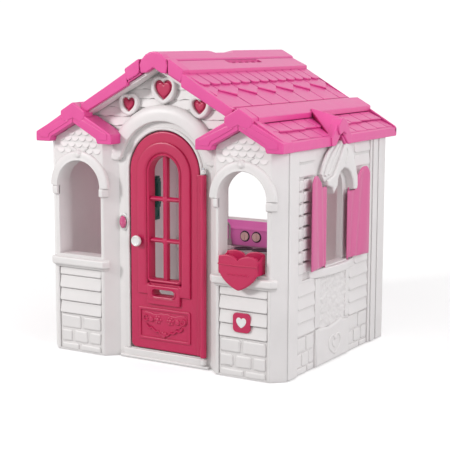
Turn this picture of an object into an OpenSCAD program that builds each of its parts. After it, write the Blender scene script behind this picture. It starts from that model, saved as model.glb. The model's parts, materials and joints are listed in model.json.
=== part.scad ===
// Moulded plastic playhouse: four wall panels, two roof halves with a ridge cap, an arched
// door on a hinge rod, window shutters, a lift-off planter, a doorbell and a toy kitchen.
// Origin: middle of the footprint, on the ground. Front is -Y, up is +Z. Millimetres.

/* [House] */
// Half of the width over the side wall faces
half_w = 660; // [640:1:680]
// Distance from the middle to the front face of the two bays
bay_y = 568; // [560:1:575]
// Width of the 45 degree corners of the bays and of the house
corner = 57; // [50:1:60]
// Thickness of the wall panels
wall_t = 50; // [44:1:54]
// Height of the side walls
wall_h = 1050; // [1046:1:1054]
// How far the mouldings stand out around the bays
moulding = 16; // [10:1:18]

/* [Roof] */
// Height of the ridge
ridge_h = 1474; // [1470:1:1478]
// Half of the width over the eaves
eave_x = 683; // [680:1:686]
// Distance from the middle to the front ends of the small gables and the back of the ridge
roof_end = 615; // [610:1:618]
// Distance from the middle to the front and the back edge of the roof slopes
eave_front = 596; // [592:1:600]
eave_back = 606; // [600:1:610]
// Distance of the small gables from the middle
small_gable_x = 458; // [454:1:460]

/* [Door] */
// Half of the width of the door
door_w = 195; // [190:1:197]
// Height of the middle of the door's round top
door_arch_z = 910; // [905:1:915]
// Height of the door's lower edge
door_z = 57; // [54:1:60]
// Thickness of the door
door_t = 50; // [40:1:54]
// Half of the width and the middle height of the round top of the door's window
pane_w = 95; // [90:1:98]
pane_arch_z = 906; // [900:1:908]
// Place of the hinge rod
hinge_x = 225; // [224:1:226]
hinge_y = -527; // [-528:1:-526]
// Radius of the hinge rod
rod_r = 6; // [5:0.5:7]

/* [Windows] */
// Middle of the front windows
window_x = 457; // [455:1:459]
// Half of the width of the front windows
window_w = 126; // [120:1:128]
// Height of the sill and of the middle of the round top of the front windows
window_z = 487; // [480:1:490]
window_arch_z = 823; // [820:1:826]
// Middle of the side windows, along the house
side_y = -44.5; // [-50:0.5:-40]
// Half of the width of the side windows
side_w = 113.5; // [110:0.5:115]
// Half of the width of the back window
back_w = 300; // [280:1:310]

/* [Shutters] */
// Width of a shutter from its pin to its free edge
shutter_l = 186; // [180:1:188]
// Thickness of a shutter
shutter_t = 16; // [14:1:16]
// How far an open shutter stands off the wall
shutter_open = 8.4; // [6:0.1:10]

/* [Hidden] */
$fn = 64;
eps = 0.3;

wall_y = bay_y - corner;
side_in = half_w - wall_t;
panel_in = wall_y - wall_t;
back_in = bay_y - wall_t;
tab_t = 14;

wall_white = [0.88, 0.87, 0.86];
roof_pink = [0.93, 0.45, 0.68];
door_red = [0.80, 0.18, 0.38];
shutter_pink = [0.86, 0.45, 0.63];
grey = [0.62, 0.60, 0.60];
console_purple = [0.72, 0.33, 0.62];
steel = [0.72, 0.73, 0.75];
teal = [0.10, 0.35, 0.32];

// A slab whose outline is drawn in X and Z, from y0 to y1
module slab_y(y0, y1) {
    translate([0, y1, 0])
        rotate([90, 0, 0])
            linear_extrude(y1 - y0)
                children();
}

// A slab whose outline is drawn in Y and Z, from x0 to x1
module slab_x(x0, x1) {
    translate([x0, 0, 0])
        rotate([90, 0, 90])
            linear_extrude(x1 - x0)
                children();
}

// A cylinder along Y from y0 to y1
module rod_y(x, z, r, y0, y1) {
    translate([x, y1, z])
        rotate([90, 0, 0])
            cylinder(r = r, h = y1 - y0);
}

// A cylinder along X from x0 to x1
module rod_x(y, z, r, x0, x1) {
    translate([x0, y, z])
        rotate([0, 90, 0])
            cylinder(r = r, h = x1 - x0);
}

// A block between two corners
module block(low, high) {
    translate(low)
        cube(high - low);
}

// An outline and its mirror image in X, as one closed path
function both(p) = concat(p, [
    for (i = [len(p) - 1:-1:0]) if (p[i][0] != 0) [-p[i][0], p[i][1]]
]);

// A heart of width w and height h whose middle is at [0, 0]
function heart_x(t) = pow(sin(t), 3);
function heart_z(t) = (13 * cos(t) - 5 * cos(2 * t) - 2 * cos(3 * t) - cos(4 * t) + 2.5) / 29;
function heart(w, h) = [for (i = [0:29]) [w / 2 * heart_x(12 * i), h * heart_z(12 * i)]];

// An upright opening with a round top
module arch(x, w, z0, arch_z) {
    translate([x - w, z0])
        square([2 * w, arch_z - z0]);
    translate([x, arch_z])
        circle(r = w);
}

// ---- Walls ----

// Line of the roof's underside, which the gables follow
under_slope = 0.5367;
under_top = ridge_h - 64;
under_x = 600;
function under_z(x) = under_top - under_slope * x;
function gable_outline(x) = both([
    [0, under_top], [under_x, under_z(under_x)], [under_x, wall_h], [x, wall_h], [x, 0]
]);

// Underside of one small gable, in front of a bay
foot_z = 1040;
gable_foot = 142;
gable_toe = 134;
gable_peak = 12;
function small_gable_under(x) = [
    [x + gable_foot, foot_z], [x + gable_toe, foot_z + 22], [x + gable_peak, foot_z + 88],
    [x, foot_z + 94],
    [x - gable_peak, foot_z + 88], [x - gable_toe, foot_z + 22], [x - gable_foot, foot_z]
];

bay_in = half_w - 399;
function bay_plan(d) = [
    [bay_in - 1.414 * d, -wall_y], [bay_in + corner - 0.414 * d, -bay_y - d],
    [half_w - corner + 0.414 * d, -bay_y - d], [half_w + 1.414 * d, -wall_y]
];

// The body of one bay with its 45 degree corners
module bay() {
    intersection() {
        linear_extrude(wall_h + 200)
            polygon(concat(bay_plan(0), [
                [side_in - eps, -wall_y], [side_in - eps, 20 - wall_y], [bay_in, 20 - wall_y]
            ]));
        slab_y(-bay_y - 1, 0)
            polygon(concat([[bay_in - 1, 0], [half_w + 1, 0], [half_w + 1, foot_z]],
                small_gable_under(small_gable_x), [[bay_in - 1, foot_z]]));
    }
}

// A moulding that runs around a bay from height z0 to z1
module bay_band(z0, z1) {
    translate([0, 0, z0])
        linear_extrude(z1 - z0)
            polygon(bay_plan(moulding));
}

// Sill, capitals, window hood and, on the right, the planter's corbel
sill_z = 422;
capital_z = 780;
hood_r = 174;
hood_out = 12;
module bay_mouldings() {
    bay_band(sill_z, sill_z + 48);
    bay_band(capital_z, window_arch_z);
    slab_y(-bay_y - hood_out, -bay_y + 1)
        difference() {
            translate([window_x, window_arch_z])
                circle(r = hood_r);
            translate([window_x - 200, window_arch_z - 201])
                square([400, 200]);
        }
}

corbel_y = -590;
module corbel() {
    slab_y(corbel_y + 4, -bay_y + 1)
        polygon([[window_x - 130, sill_z + 4], [window_x - 84, sill_z - 42],
            [window_x + 84, sill_z - 42], [window_x + 130, sill_z + 4]]);
}

heart_c = [0, 1297, 98, 91];
heart_s = [198, 1224, 72, 66];
heart_rim = 25;
module heart_at(x, z, w, h) {
    translate([x, z])
        polygon(heart(w, h));
}

module heart_rims() {
    slab_y(-wall_y - 8, -wall_y + 1) {
        heart_at(heart_c[0], heart_c[1], heart_c[2] + 2 * heart_rim, heart_c[3] + 2 * heart_rim);
        for (s = [-1, 1])
            heart_at(s * heart_s[0], heart_s[1], heart_s[2] + 48, heart_s[3] + 48);
    }
}

module heart_pockets() {
    slab_y(-wall_y - 9, -wall_y + 12) {
        heart_at(heart_c[0], heart_c[1], heart_c[2], heart_c[3]);
        for (s = [-1, 1])
            heart_at(s * heart_s[0], heart_s[1], heart_s[2], heart_s[3]);
    }
}

function gable_leg(x, g) = [
    [x - 225 - g, foot_z - g], [x - 225 - g, foot_z + 42 + g], [x - 70, foot_z + 126 + g],
    [x - 70, foot_z - g]
];

arch_r1 = 243;
arch_r2 = 316;
module door_arch_band() {
    slab_y(-wall_y - 26, -wall_y + 1)
        difference() {
            intersection() {
                difference() {
                    translate([0, door_arch_z])
                        circle(r = arch_r2);
                    translate([0, door_arch_z])
                        circle(r = arch_r1);
                }
                translate([-330, door_arch_z + 55])
                    square([660, 300]);
            }
            for (s = [0, 1])
                mirror([s, 0])
                    polygon(gable_leg(small_gable_x, 1));
        }
}

// Lugs that hold the hinge rod above and below the door
lug_r = 15;
lug_top = [919, 945];
lug_low = [22, 53];
module hinge_lugs() {
    for (z = [lug_low, lug_top]) {
        translate([hinge_x, hinge_y, z[0]])
            cylinder(r = lug_r, h = z[1] - z[0]);
        block([hinge_x - 10, hinge_y, z[0]], [hinge_x + 10, -wall_y + 1, z[1]]);
    }
}

bell_x = -231;
bell_z = 663;
bell_stem_r = 6;
module front_wall() {
    color(wall_white)
        difference() {
            union() {
                difference() {
                    slab_y(-wall_y, -panel_in)
                        polygon(gable_outline(side_in - eps));
                    for (s = [-1, 1])
                        block([s * window_x - 140, -panel_in - 25, 440],
                            [s * window_x + 140, -panel_in + 1, 1010]);
                }
                for (s = [0, 1])
                    mirror([s, 0, 0]) {
                        bay();
                        bay_mouldings();
                    }
                corbel();
                door_arch_band();
                heart_rims();
                hinge_lugs();
            }
            heart_pockets();
            slab_y(-wall_y - 40, -panel_in + 1)
                arch(0, door_w + 6, door_z - 5, door_arch_z);
            for (s = [-1, 1])
                slab_y(-bay_y - 40, -panel_in + 1)
                    arch(s * window_x, window_w, window_z, window_arch_z);
            translate([hinge_x, hinge_y, lug_low[0] + 8])
                cylinder(r = rod_r, h = lug_top[1]);
            rod_y(bell_x, bell_z, bell_stem_r + eps, -wall_y - 1, -panel_in + 1);
            rod_y(bell_x, bell_z, 11, -wall_y - 1, -wall_y + 16);
            for (z = screw_z, s = [-1, 1])
                rod_y(s * screw_x, z, screw_hole_r, -panel_in - 30, -panel_in + 1);
        }
}

module back_wall() {
    color(wall_white)
        difference() {
            intersection() {
                linear_extrude(ridge_h)
                    polygon(both([[side_in - eps, back_in], [side_in - eps, wall_y],
                        [half_w, wall_y], [half_w - corner, bay_y]]));
                slab_y(0, bay_y + 1)
                    polygon(gable_outline(half_w + 1));
            }
            slab_y(back_in - 1, bay_y + 1)
                intersection() {
                    translate([0, kitchen_top - 50])
                        circle(r = back_w + 130);
                    translate([-back_w, kitchen_top])
                        square([2 * back_w, 400]);
                }
            for (z = screw_z, s = [-1, 1])
                rod_y(s * screw_x, z, screw_hole_r, back_in - 1, back_in + 30);
            for (x = kitchen_screw_x)
                rod_y(x, kitchen_screw_z, screw_hole_r, back_in - 1, back_in + 30);
        }
}

// Screws at the corners: tabs on the side walls lie against the front and back walls
screw_z = [140, 380, 1000];
screw_x = 592;
screw_hole_r = 3;
screw_r = 2.4;
head_r = 6;
tab_x = 574;
module corner_tabs() {
    for (z = screw_z) {
        block([tab_x, -panel_in, z - 26], [side_in + 1, -panel_in + tab_t, z + 26]);
        block([tab_x, back_in - tab_t, z - 26], [side_in - eps, back_in, z + 26]);
        block([side_in - 10, back_in - tab_t, z - 26], [side_in + 1, wall_y - eps, z + 26]);
    }
}

recess_d = 12;
side_sill_z = 430;
side_sill_top = 475;
side_sill_out = 44;
side_arch_z = 820;
hood_low = 817;
hood_x = 688;
sill_w = 230;
pin_x = half_w + 8;
pin_dy = 122;
pin_r = 4;

module side_sill() {
    translate([0, 0, side_sill_z])
        linear_extrude(side_sill_top - side_sill_z)
            polygon(concat([[half_w - 20, side_y - sill_w], [half_w - 20, side_y + sill_w]],
                [for (i = [6:-1:-6]) [half_w - recess_d + side_sill_out * (1 - pow(i / 6, 2)),
                    side_y + sill_w * i / 6]]));
}

// Pointed hood over a side window
module side_hood() {
    slab_x(half_w - 20, hood_x)
        translate([side_y, 0])
            polygon(both([[0, 1046], [26, 1018], [78, 985], [128, 936], [168, 868],
                [182, 832], [182, hood_low], [side_w, hood_low]]));
}

module side_panel() {
    difference() {
        union() {
            difference() {
                block([side_in, -wall_y, 0], [half_w, wall_y, wall_h]);
                block([half_w - recess_d, side_y - 301, side_sill_z + 10],
                    [half_w + 1, side_y + 301, 930]);
            }
            side_sill();
            side_hood();
            corner_tabs();
        }
        slab_x(side_in - 1, hood_x + 1)
            arch(side_y, side_w, side_sill_top, side_arch_z);
        for (s = [-1, 1]) {
            translate([pin_x, side_y + s * pin_dy, side_sill_top - 12])
                cylinder(r = pin_r + 0.08, h = 13);
            translate([pin_x, side_y + s * pin_dy, hood_low - 1])
                cylinder(r = pin_r + 0.08, h = 14);
        }
        for (z = screw_z) {
            rod_y(screw_x, z, screw_hole_r, -panel_in - 1, -panel_in + tab_t + 1);
            rod_y(screw_x, z, screw_hole_r, back_in - tab_t - 1, back_in + 1);
        }
        for (y = roof_screw_y)
            rod_x(y, roof_screw_z, screw_hole_r, side_in - 1, side_in + 34);
    }
}

module right_wall() {
    color(wall_white)
        side_panel();
}

module left_wall() {
    color(wall_white)
        mirror([1, 0, 0])
            side_panel();
}

// A screw along Y whose head faces the side given by dir
module screw_y(x, y, z, dir, l) {
    y2 = y - dir * l;
    rod_y(x, z, screw_r, min(y, y2), max(y, y2));
    rod_y(x, z, head_r, min(y, y + dir * 4), max(y, y + dir * 4));
}

module wall_screws() {
    color(steel)
        for (s = [-1, 1], z = screw_z) {
            screw_y(s * screw_x, -panel_in + tab_t, z, 1, 40);
            screw_y(s * screw_x, back_in - tab_t, z, -1, 40);
        }
}

// ---- Roof ----

// Height of the roof's outer line at x, at the foot of the shingles
function skin(x) = ridge_h - 8 - 0.587 * x;
row_x = [160, 245, 324, 405];
row_drop = 5;
lower_x = [534, 608, 683];
eave_top = 1080;
band_top = [72, 162];
mid_x = 460;
mid_top = 1232;
lower_k = (skin(lower_x[0]) + 11 - eave_top) / (eave_x - lower_x[0]);
function lower_skin(x) = eave_top + lower_k * (eave_x - x);

roof_profile = concat(
    [[eps / 2, ridge_h - 18.5], [band_top[0], ridge_h - 57.5], [band_top[0], ridge_h - 44],
        [band_top[1], ridge_h - 83]],
    [for (i = [0:2]) for (e = [0, 1])
        [row_x[i + e] - 2 * e + 2, skin(row_x[i + e]) + (e == 0 ? -row_drop : row_drop)]],
    [[row_x[3], skin(row_x[3]) - row_drop], [mid_x - 22, mid_top - 12], [mid_x, mid_top],
        [lower_x[0], 1192]],
    [for (i = [0:1]) for (e = [0, 1])
        [lower_x[i + e] - 2 * e + 2 * (1 - e), lower_skin(lower_x[i + e]) + (e == 0 ? -4 : 3)]],
    [[eave_x, eave_top - 4], [eave_x, foot_z], [half_w + 1, foot_z], [half_w + 1, wall_h],
        [under_x, wall_h], [under_x, under_z(under_x)], [eps / 2, under_top]]
);

cap_x = 76;
cap_front = -599;
cap_block = 54;

// Block, legs and feet of a small gable, in front of a bay
module small_gable() {
    x = small_gable_x;
    slab_y(-roof_end, -wall_y - eps)
        polygon(concat(small_gable_under(x), [[x - 225, foot_z], [x - 225, foot_z + 42],
            [x - 70, foot_z + 126], [x + 70, foot_z + 126], [eave_x, eave_top + 2],
            [eave_x, foot_z]]));
    slab_y(-roof_end, -545)
        polygon([[x, mid_top], [x + 72, 1190], [x + 72, 1155], [x + 46, 1133], [x, 1156],
            [x - 46, 1133], [x - 72, 1155], [x - 72, 1190]]);
}

module rake_board() {
    slab_y(cap_front, -575)
        polygon([[cap_x + 2, ridge_h - 40], [165, ridge_h - 85], [150, ridge_h - 108],
            [400, skin(400) + 6], [400, under_z(400) - 12], [165, under_z(165) - 12],
            [150, ridge_h - 133], [cap_x + 2, ridge_h - 96]]);
}

// The small gable over the middle of an eave
module eave_gablet() {
    translate([0, side_y, 0]) {
        hull() {
            slab_x(eave_x - 3, eave_x)
                polygon([[-102, eave_top - 4], [0, 1160], [102, eave_top - 4]]);
            slab_x(522, 524)
                polygon([[-4, 1188], [0, 1203], [4, 1188]]);
        }
        slab_x(eave_x - 20, eave_x + 17)
            polygon([[0, 1167], [60, 1128], [60, 1108], [40, 1092], [0, 1112], [-40, 1092],
                [-60, 1108], [-60, 1128]]);
    }
}

roof_screw_y = [-350, 0, 330];
roof_screw_z = 1025;
module roof_half() {
    difference() {
        union() {
            slab_y(-eave_front, eave_back)
                polygon(roof_profile);
            small_gable();
            rake_board();
            eave_gablet();
            for (y = roof_screw_y)
                block([side_in - 20, y - 26, roof_screw_z - 22],
                    [side_in, y + 26, wall_h + 60]);
        }
        block([-1, -601, 1340], [cap_x, cap_front + cap_block, ridge_h + 1]);
        translate([0, side_y, 0])
            slab_x(half_w - 5, eave_x + 20)
                polygon([[-56, foot_z - 1], [0, 1090], [56, foot_z - 1]]);
        for (y = roof_screw_y)
            rod_x(y, roof_screw_z, screw_hole_r, side_in - 21, side_in + 1);
    }
}

module roof_right() {
    color(roof_pink)
        roof_half();
}

module roof_left() {
    color(roof_pink)
        mirror([1, 0, 0])
            roof_half();
}

module ridge_cap() {
    color(roof_pink)
        difference() {
            union() {
                slab_y(cap_front + 1, roof_end)
                    polygon(both([[0, ridge_h], [72, ridge_h - 38], [72, ridge_h - 57],
                        [0, ridge_h - 18]]));
                slab_y(cap_front, cap_front + cap_block)
                    polygon(both([[0, ridge_h], [34, ridge_h - 10], [66, ridge_h - 34],
                        [cap_x - 1, ridge_h - 60], [70, ridge_h - 97], [0, ridge_h - 72]]));
            }
            slab_x(-80, 80)
                polygon([[-174, ridge_h + 1], [-174, ridge_h], [-82, ridge_h - 10],
                    [60, ridge_h - 10], [148, ridge_h], [148, ridge_h + 1]]);
        }
}

module roof_screws() {
    color(steel)
        for (s = [0, 1], y = roof_screw_y)
            mirror([s, 0, 0]) {
                rod_x(y, roof_screw_z, screw_r, side_in - 20, side_in + 30);
                rod_x(y, roof_screw_z, head_r, side_in - 24, side_in - 20);
            }
}

// ---- Hearts and badge ----

module gable_heart(x, z, w, h) {
    color(door_red)
        slab_y(-wall_y - 4, -wall_y + 12)
            heart_at(x, z, w - 2 * eps, h - 2 * eps);
}

module gable_heart_center() {
    gable_heart(heart_c[0], heart_c[1], heart_c[2], heart_c[3]);
}

module gable_heart_left() {
    gable_heart(-heart_s[0], heart_s[1], heart_s[2], heart_s[3]);
}

module gable_heart_right() {
    gable_heart(heart_s[0], heart_s[1], heart_s[2], heart_s[3]);
}

badge_z = 262;
module bay_badge() {
    color(door_red) {
        slab_y(-bay_y - 4, -bay_y)
            translate([window_x, badge_z])
                union() {
                    square([90, 54], center = true);
                    square([54, 90], center = true);
                    for (a = [-27, 27], b = [-27, 27])
                        translate([a, b])
                            circle(r = 18, $fn = 48);
                }
        slab_y(-bay_y - 7, -bay_y - 3)
            heart_at(window_x, badge_z, 58, 52);
    }
}

// ---- Door ----

slot_z = 338;
door_front = -515;
barrel_top = 916;
knob_x = -140;
knob_z = 582;
muntin = 14;
module door() {
    color(door_red)
        difference() {
            union() {
                slab_y(door_front, door_front + door_t)
                    arch(0, door_w, door_z, door_arch_z);
                slab_y(door_front - 8, door_front + 1)
                    difference() {
                        arch(0, 148, 345, pane_arch_z);
                        arch(0, pane_w + 6, 380, pane_arch_z);
                    }
                slab_y(door_front - 8, door_front + 1)
                    translate([-91, 288])
                        square([182, 82]);
                slab_y(door_front - 5, door_front + 1)
                    translate([-147, 108])
                        square([294, 152]);
                block([door_w - 30, hinge_y, door_z], [hinge_x, door_front + 2, barrel_top]);
                translate([hinge_x, hinge_y, door_z])
                    cylinder(r = lug_r, h = barrel_top - door_z);
            }
            difference() {
                slab_y(door_front - 20, door_front + door_t + 1)
                    arch(0, pane_w, 388, pane_arch_z);
                block([-muntin, door_front + 4, 380], [muntin, door_front + 24, 1010]);
                for (z = [587, 785])
                    block([-100, door_front + 4, z - 10], [100, door_front + 24, z + 10]);
            }
            slab_y(door_front - 20, door_front + door_t + 1)
                hull()
                    for (s = [-1, 1])
                        translate([s * 54, slot_z])
                            circle(r = 14, $fn = 32);
            translate([hinge_x, hinge_y, door_z - 1])
                cylinder(r = rod_r + 0.08, h = barrel_top);
            rod_y(knob_x, knob_z, 22, door_front - 9, door_front);
            rod_y(knob_x, knob_z, 3.2, door_front - 1, door_front + door_t + 1);
        }
}

module door_hinge_rod() {
    color(steel)
        translate([hinge_x, hinge_y, lug_low[0] + 8])
            cylinder(r = rod_r, h = lug_top[1] - lug_low[0] - 6);
}

// A round knob on a stem, standing out along -Y from the origin
module knob(bore) {
    rotate([90, 0, 0])
        difference() {
            rotate_extrude()
                polygon([[0, 0], [20, 0], [16, 5], [12, 9], [12, 17], [19, 21], [25, 27],
                    [26, 32], [23, 37], [15, 40], [0, 41]]);
            translate([0, 0, -1])
                cylinder(r = bore, h = 31);
        }
}

module door_knob_outer() {
    color("white")
        translate([knob_x, door_front, knob_z])
            knob(2.4);
}

module door_knob_inner() {
    color("white")
        translate([knob_x, door_front + door_t, knob_z])
            rotate([0, 0, 180])
                difference() {
                    knob(3.2);
                    rotate([90, 0, 0])
                        translate([0, 0, 27])
                            cylinder(r = 7, h = 20);
                }
}

module door_knob_screw() {
    color(steel) {
        rod_y(knob_x, knob_z, 2.4, door_front - 25, door_front + door_t + 27);
        rod_y(knob_x, knob_z, 6, door_front + door_t + 27, door_front + door_t + 31);
    }
}

// ---- Shutters ----

shutter_z = 483;
shutter_step = 72;
shutter_low = 805;
// A shutter drawn along +Y from its pin, lying in the wall's plane
module shutter_leaf() {
    slab_x(-shutter_t / 2, shutter_t / 2)
        polygon(concat([[-9, shutter_z], [shutter_l, shutter_z]],
            [for (a = [0:15:75]) [shutter_l - 22 + 22 * cos(a), 872 + 22 * sin(a)]],
            [for (i = [0:5]) [shutter_l - 26 - 15 * i, 895 - 1.3 * i * i]],
            [[shutter_step, shutter_low], [-9, shutter_low]]));
    translate([0, 0, side_sill_top - 10])
        cylinder(r = pin_r, h = shutter_z - side_sill_top + 11);
    translate([0, 0, shutter_low - 1])
        cylinder(r = pin_r, h = hood_low + 10 - shutter_low);
}

// Side is 1 for the right wall and -1 for the left; end is 1 for the back leaf
module shutter_at(side, end) {
    color(shutter_pink)
        scale([side, 1, 1])
            translate([pin_x, side_y + end * pin_dy, 0])
                rotate([0, 0, -end * shutter_open])
                    scale([1, end, 1])
                        shutter_leaf();
}

module shutter_right_front() {
    shutter_at(1, -1);
}

module shutter_right_back() {
    shutter_at(1, 1);
}

module shutter_left_front() {
    shutter_at(-1, -1);
}

module shutter_left_back() {
    shutter_at(-1, 1);
}

// ---- Planter ----

planter_y = [1 - roof_end, -530];
planter_z = 504;
planter_w = 202;
planter_h = 176;
lip_z = 534;
planter_t = 7;
module planter_box() {
    color(door_red)
        difference() {
            slab_y(planter_y[0], planter_y[1])
                heart_at(window_x, planter_z, planter_w, planter_h);
            intersection() {
                slab_y(planter_y[0] + planter_t, planter_y[1] - planter_t)
                    heart_at(window_x, planter_z - 2, planter_w - 2 * planter_t,
                        planter_h - 2 * planter_t - 2);
                union() {
                    block([window_x - 120, planter_y[0], 380], [window_x + 120, -600, 700]);
                    block([window_x - 120, -602, 500], [window_x + 120, -500, 700]);
                }
            }
            block([window_x - 120, planter_y[0] + planter_t, lip_z],
                [window_x + 120, planter_y[1] - planter_t, 620]);
            block([window_x - 120, -592, 400], [window_x + 120, -500, window_z + 2]);
        }
}

// ---- Doorbell ----

module bell_oval(k) {
    scale([k, k, 1])
        intersection() {
            translate([-18, 0, 0])
                circle(r = 44);
            translate([18, 0, 0])
                circle(r = 44);
        }
}

module doorbell_base() {
    color("white")
        difference() {
            slab_y(-wall_y - 6, -wall_y)
                translate([bell_x, bell_z])
                    bell_oval(1);
            rod_y(bell_x, bell_z, 11, -wall_y - 7, -wall_y + 1);
        }
}

button_travel = 4;
module doorbell_button() {
    color(roof_pink) {
        slab_y(-wall_y - 14, -wall_y - 6 - button_travel)
            translate([bell_x, bell_z])
                bell_oval(0.8);
        slab_y(-wall_y - 20, -wall_y - 13)
            translate([bell_x, bell_z])
                bell_oval(0.55);
        rod_y(bell_x, bell_z, bell_stem_r, -wall_y - 12, -panel_in + 3);
    }
}

module doorbell_spring() {
    color(steel)
        for (i = [0:5])
            translate([bell_x, -wall_y - 9.1 + 4.8 * i, bell_z])
                rotate([90, 0, 0])
                    rotate_extrude()
                        translate([8.6, 0])
                            circle(r = 0.8, $fn = 16);
}

house_in = [[bell_x - 30, -panel_in, bell_z - 44], [bell_x + 26, -panel_in + 30, bell_z + 44]];
module doorbell_housing() {
    color("white")
        difference() {
            block(house_in[0], house_in[1]);
            block(house_in[0] + [3, 3, 3], house_in[1] + [-3, 1, -3]);
            rod_y(bell_x, bell_z, bell_stem_r + eps, -panel_in - 1, -panel_in + 4);
        }
}

module doorbell_circuit() {
    color("green")
        block(house_in[0] + [4, 10, 4], [house_in[1][0] - 4, -panel_in + 12, bell_z + 40]);
}

module doorbell_batteries() {
    color(steel)
        for (i = [-1, 1])
            rod_y(bell_x - 2 + 12 * i, bell_z - 24, 5.8, -panel_in + 13, -panel_in + 25);
}

module doorbell_cover() {
    color("white")
        block([house_in[0][0], house_in[1][1], house_in[0][2]],
            [house_in[1][0], house_in[1][1] + 3, house_in[1][2]]);
}

// ---- Kitchen and telephone ----

kitchen_x = [-400, 70];
kitchen_top = 545;
counter_y = 300;
counter_z = [384, 412];
console_y = 468;
sink_x = -222;
sink_y = 368;
sink_r = 60;
tap_y = 450;
dial_x = [-135, -63];
dial_z = 466;
kitchen_screw_x = [-380, -165, 50];
kitchen_screw_z = 360;
module kitchen_counter() {
    color(grey)
        difference() {
            union() {
                block([kitchen_x[0], counter_y, counter_z[0]], [kitchen_x[1], back_in,
                    counter_z[1]]);
                block([kitchen_x[0], back_in - 14, 330], [kitchen_x[1], back_in, counter_z[0] + 1]);
                for (x = [kitchen_x[0], kitchen_x[1] - 14])
                    slab_x(x, x + 14)
                        polygon([[counter_y + 16, counter_z[0] + 1], [back_in, counter_z[0] + 1],
                            [back_in, 180]]);
            }
            translate([sink_x, sink_y, counter_z[0] - 1])
                cylinder(r = sink_r, h = 40);
            for (x = kitchen_screw_x)
                rod_y(x, kitchen_screw_z, screw_hole_r, back_in - 15, back_in + 1);
            translate([sink_x, tap_y, counter_z[0] - 1])
                cylinder(r = 5, h = 40);
        }
}

module sink_basin() {
    color("white")
        translate([sink_x, sink_y, 0])
            difference() {
                union() {
                    translate([0, 0, 346])
                        cylinder(r = sink_r - eps, h = counter_z[1] - 346 + 1);
                    translate([0, 0, counter_z[1]])
                        cylinder(r = sink_r + 7, h = 3);
                }
                translate([0, 0, 350])
                    cylinder(r = sink_r - 5, h = 80);
                translate([0, 0, 340])
                    cylinder(r = 10, h = 20);
            }
}

module kitchen_console() {
    color(console_purple)
        difference() {
            slab_x(kitchen_x[0], kitchen_x[1])
                polygon([[console_y, counter_z[1]], [back_in, counter_z[1]],
                    [back_in, kitchen_top], [console_y + 4, kitchen_top],
                    [console_y, kitchen_top - 20]]);
            for (x = dial_x)
                rod_y(x, dial_z, 4.08, console_y - 1, console_y + 20);
        }
}

module stove_dial(x) {
    color(grey)
        translate([x, console_y, dial_z])
            rotate([90, 0, 0]) {
                translate([0, 0, 1])
                    cylinder(r = 23, h = 8);
                translate([-3.5, -20, 8.5])
                    cube([7, 40, 9]);
                translate([0, 0, -16])
                    cylinder(r = 4, h = 18);
            }
}

module stove_dial_left() {
    stove_dial(dial_x[0]);
}

module stove_dial_right() {
    stove_dial(dial_x[1]);
}

module burner_rings() {
    color([0.2, 0.2, 0.22])
        for (x = [-95, 12])
            translate([x, 385, counter_z[1]]) {
                difference() {
                    cylinder(r = 50, h = 4);
                    translate([0, 0, 2])
                        cylinder(r = 42, h = 4);
                }
                translate([0, 0, 1])
                    difference() {
                        cylinder(r = 28, h = 3);
                        translate([0, 0, 1.5])
                            cylinder(r = 20, h = 4);
                    }
            }
}

module kitchen_screws() {
    color(steel)
        for (x = kitchen_screw_x)
            screw_y(x, back_in - 14, kitchen_screw_z, -1, 40);
}

module tap_base() {
    color(grey)
        translate([sink_x, tap_y, 0]) {
            difference() {
                translate([0, 0, counter_z[1]])
                    cylinder(r1 = 15, r2 = 12, h = 24);
                translate([0, 0, counter_z[1] + 4])
                    cylinder(r = 6.08, h = 40);
            }
            translate([0, 0, counter_z[0] - 8])
                cylinder(r = 4.8, h = 37);
        }
}

// Gooseneck spout that turns in its base
neck_r = 30;
module tap_spout() {
    color(steel)
        translate([sink_x, tap_y, counter_z[1]]) {
            translate([0, 0, 5])
                cylinder(r = 6, h = 90);
            translate([0, 0, 25])
                cylinder(r = 11, h = 10);
            translate([0, -neck_r, 95])
                rotate([90, 0, 90])
                    rotate_extrude(angle = 180)
                        translate([neck_r, 0])
                            circle(r = 6);
            translate([0, -2 * neck_r, 70])
                cylinder(r = 6, h = 25);
        }
}

phone_y = 280;
phone_z = [545, 785];
phone_wall = -side_in;
module phone_base() {
    color(teal)
        difference() {
            block([phone_wall, phone_y - 31, phone_z[0]],
                [phone_wall + 22, phone_y + 31, phone_z[1]]);
            block([phone_wall + 14, phone_y - 17, phone_z[0] + 70],
                [phone_wall + 23, phone_y + 17, phone_z[1] - 8]);
            rod_x(phone_y, phone_z[0] + 34, 24, phone_wall + 18, phone_wall + 23);
        }
}

module phone_handset() {
    color(teal) {
        block([phone_wall + 14.3, phone_y - 16, phone_z[0] + 72],
            [phone_wall + 38, phone_y + 16, phone_z[0] + 100]);
        block([phone_wall + 26, phone_y - 11, phone_z[0] + 90],
            [phone_wall + 44, phone_y + 11, phone_z[1] - 28]);
        block([phone_wall + 14.3, phone_y - 16, phone_z[1] - 38],
            [phone_wall + 38, phone_y + 16, phone_z[1] - 10]);
    }
}

front_wall();
back_wall();
left_wall();
right_wall();
roof_left();
roof_right();
ridge_cap();
gable_heart_center();
gable_heart_left();
gable_heart_right();
bay_badge();
wall_screws();
roof_screws();
door();
door_hinge_rod();
door_knob_outer();
door_knob_inner();
door_knob_screw();
shutter_right_front();
shutter_right_back();
shutter_left_front();
shutter_left_back();
planter_box();
doorbell_base();
doorbell_button();
doorbell_spring();
doorbell_housing();
doorbell_circuit();
doorbell_batteries();
doorbell_cover();
kitchen_counter();
kitchen_console();
kitchen_screws();
burner_rings();
stove_dial_left();
stove_dial_right();
sink_basin();
tap_base();
tap_spout();
phone_base();
phone_handset();
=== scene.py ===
import json
import math
import random

import bmesh
import bpy
from mathutils import Matrix, Vector, noise


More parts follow.
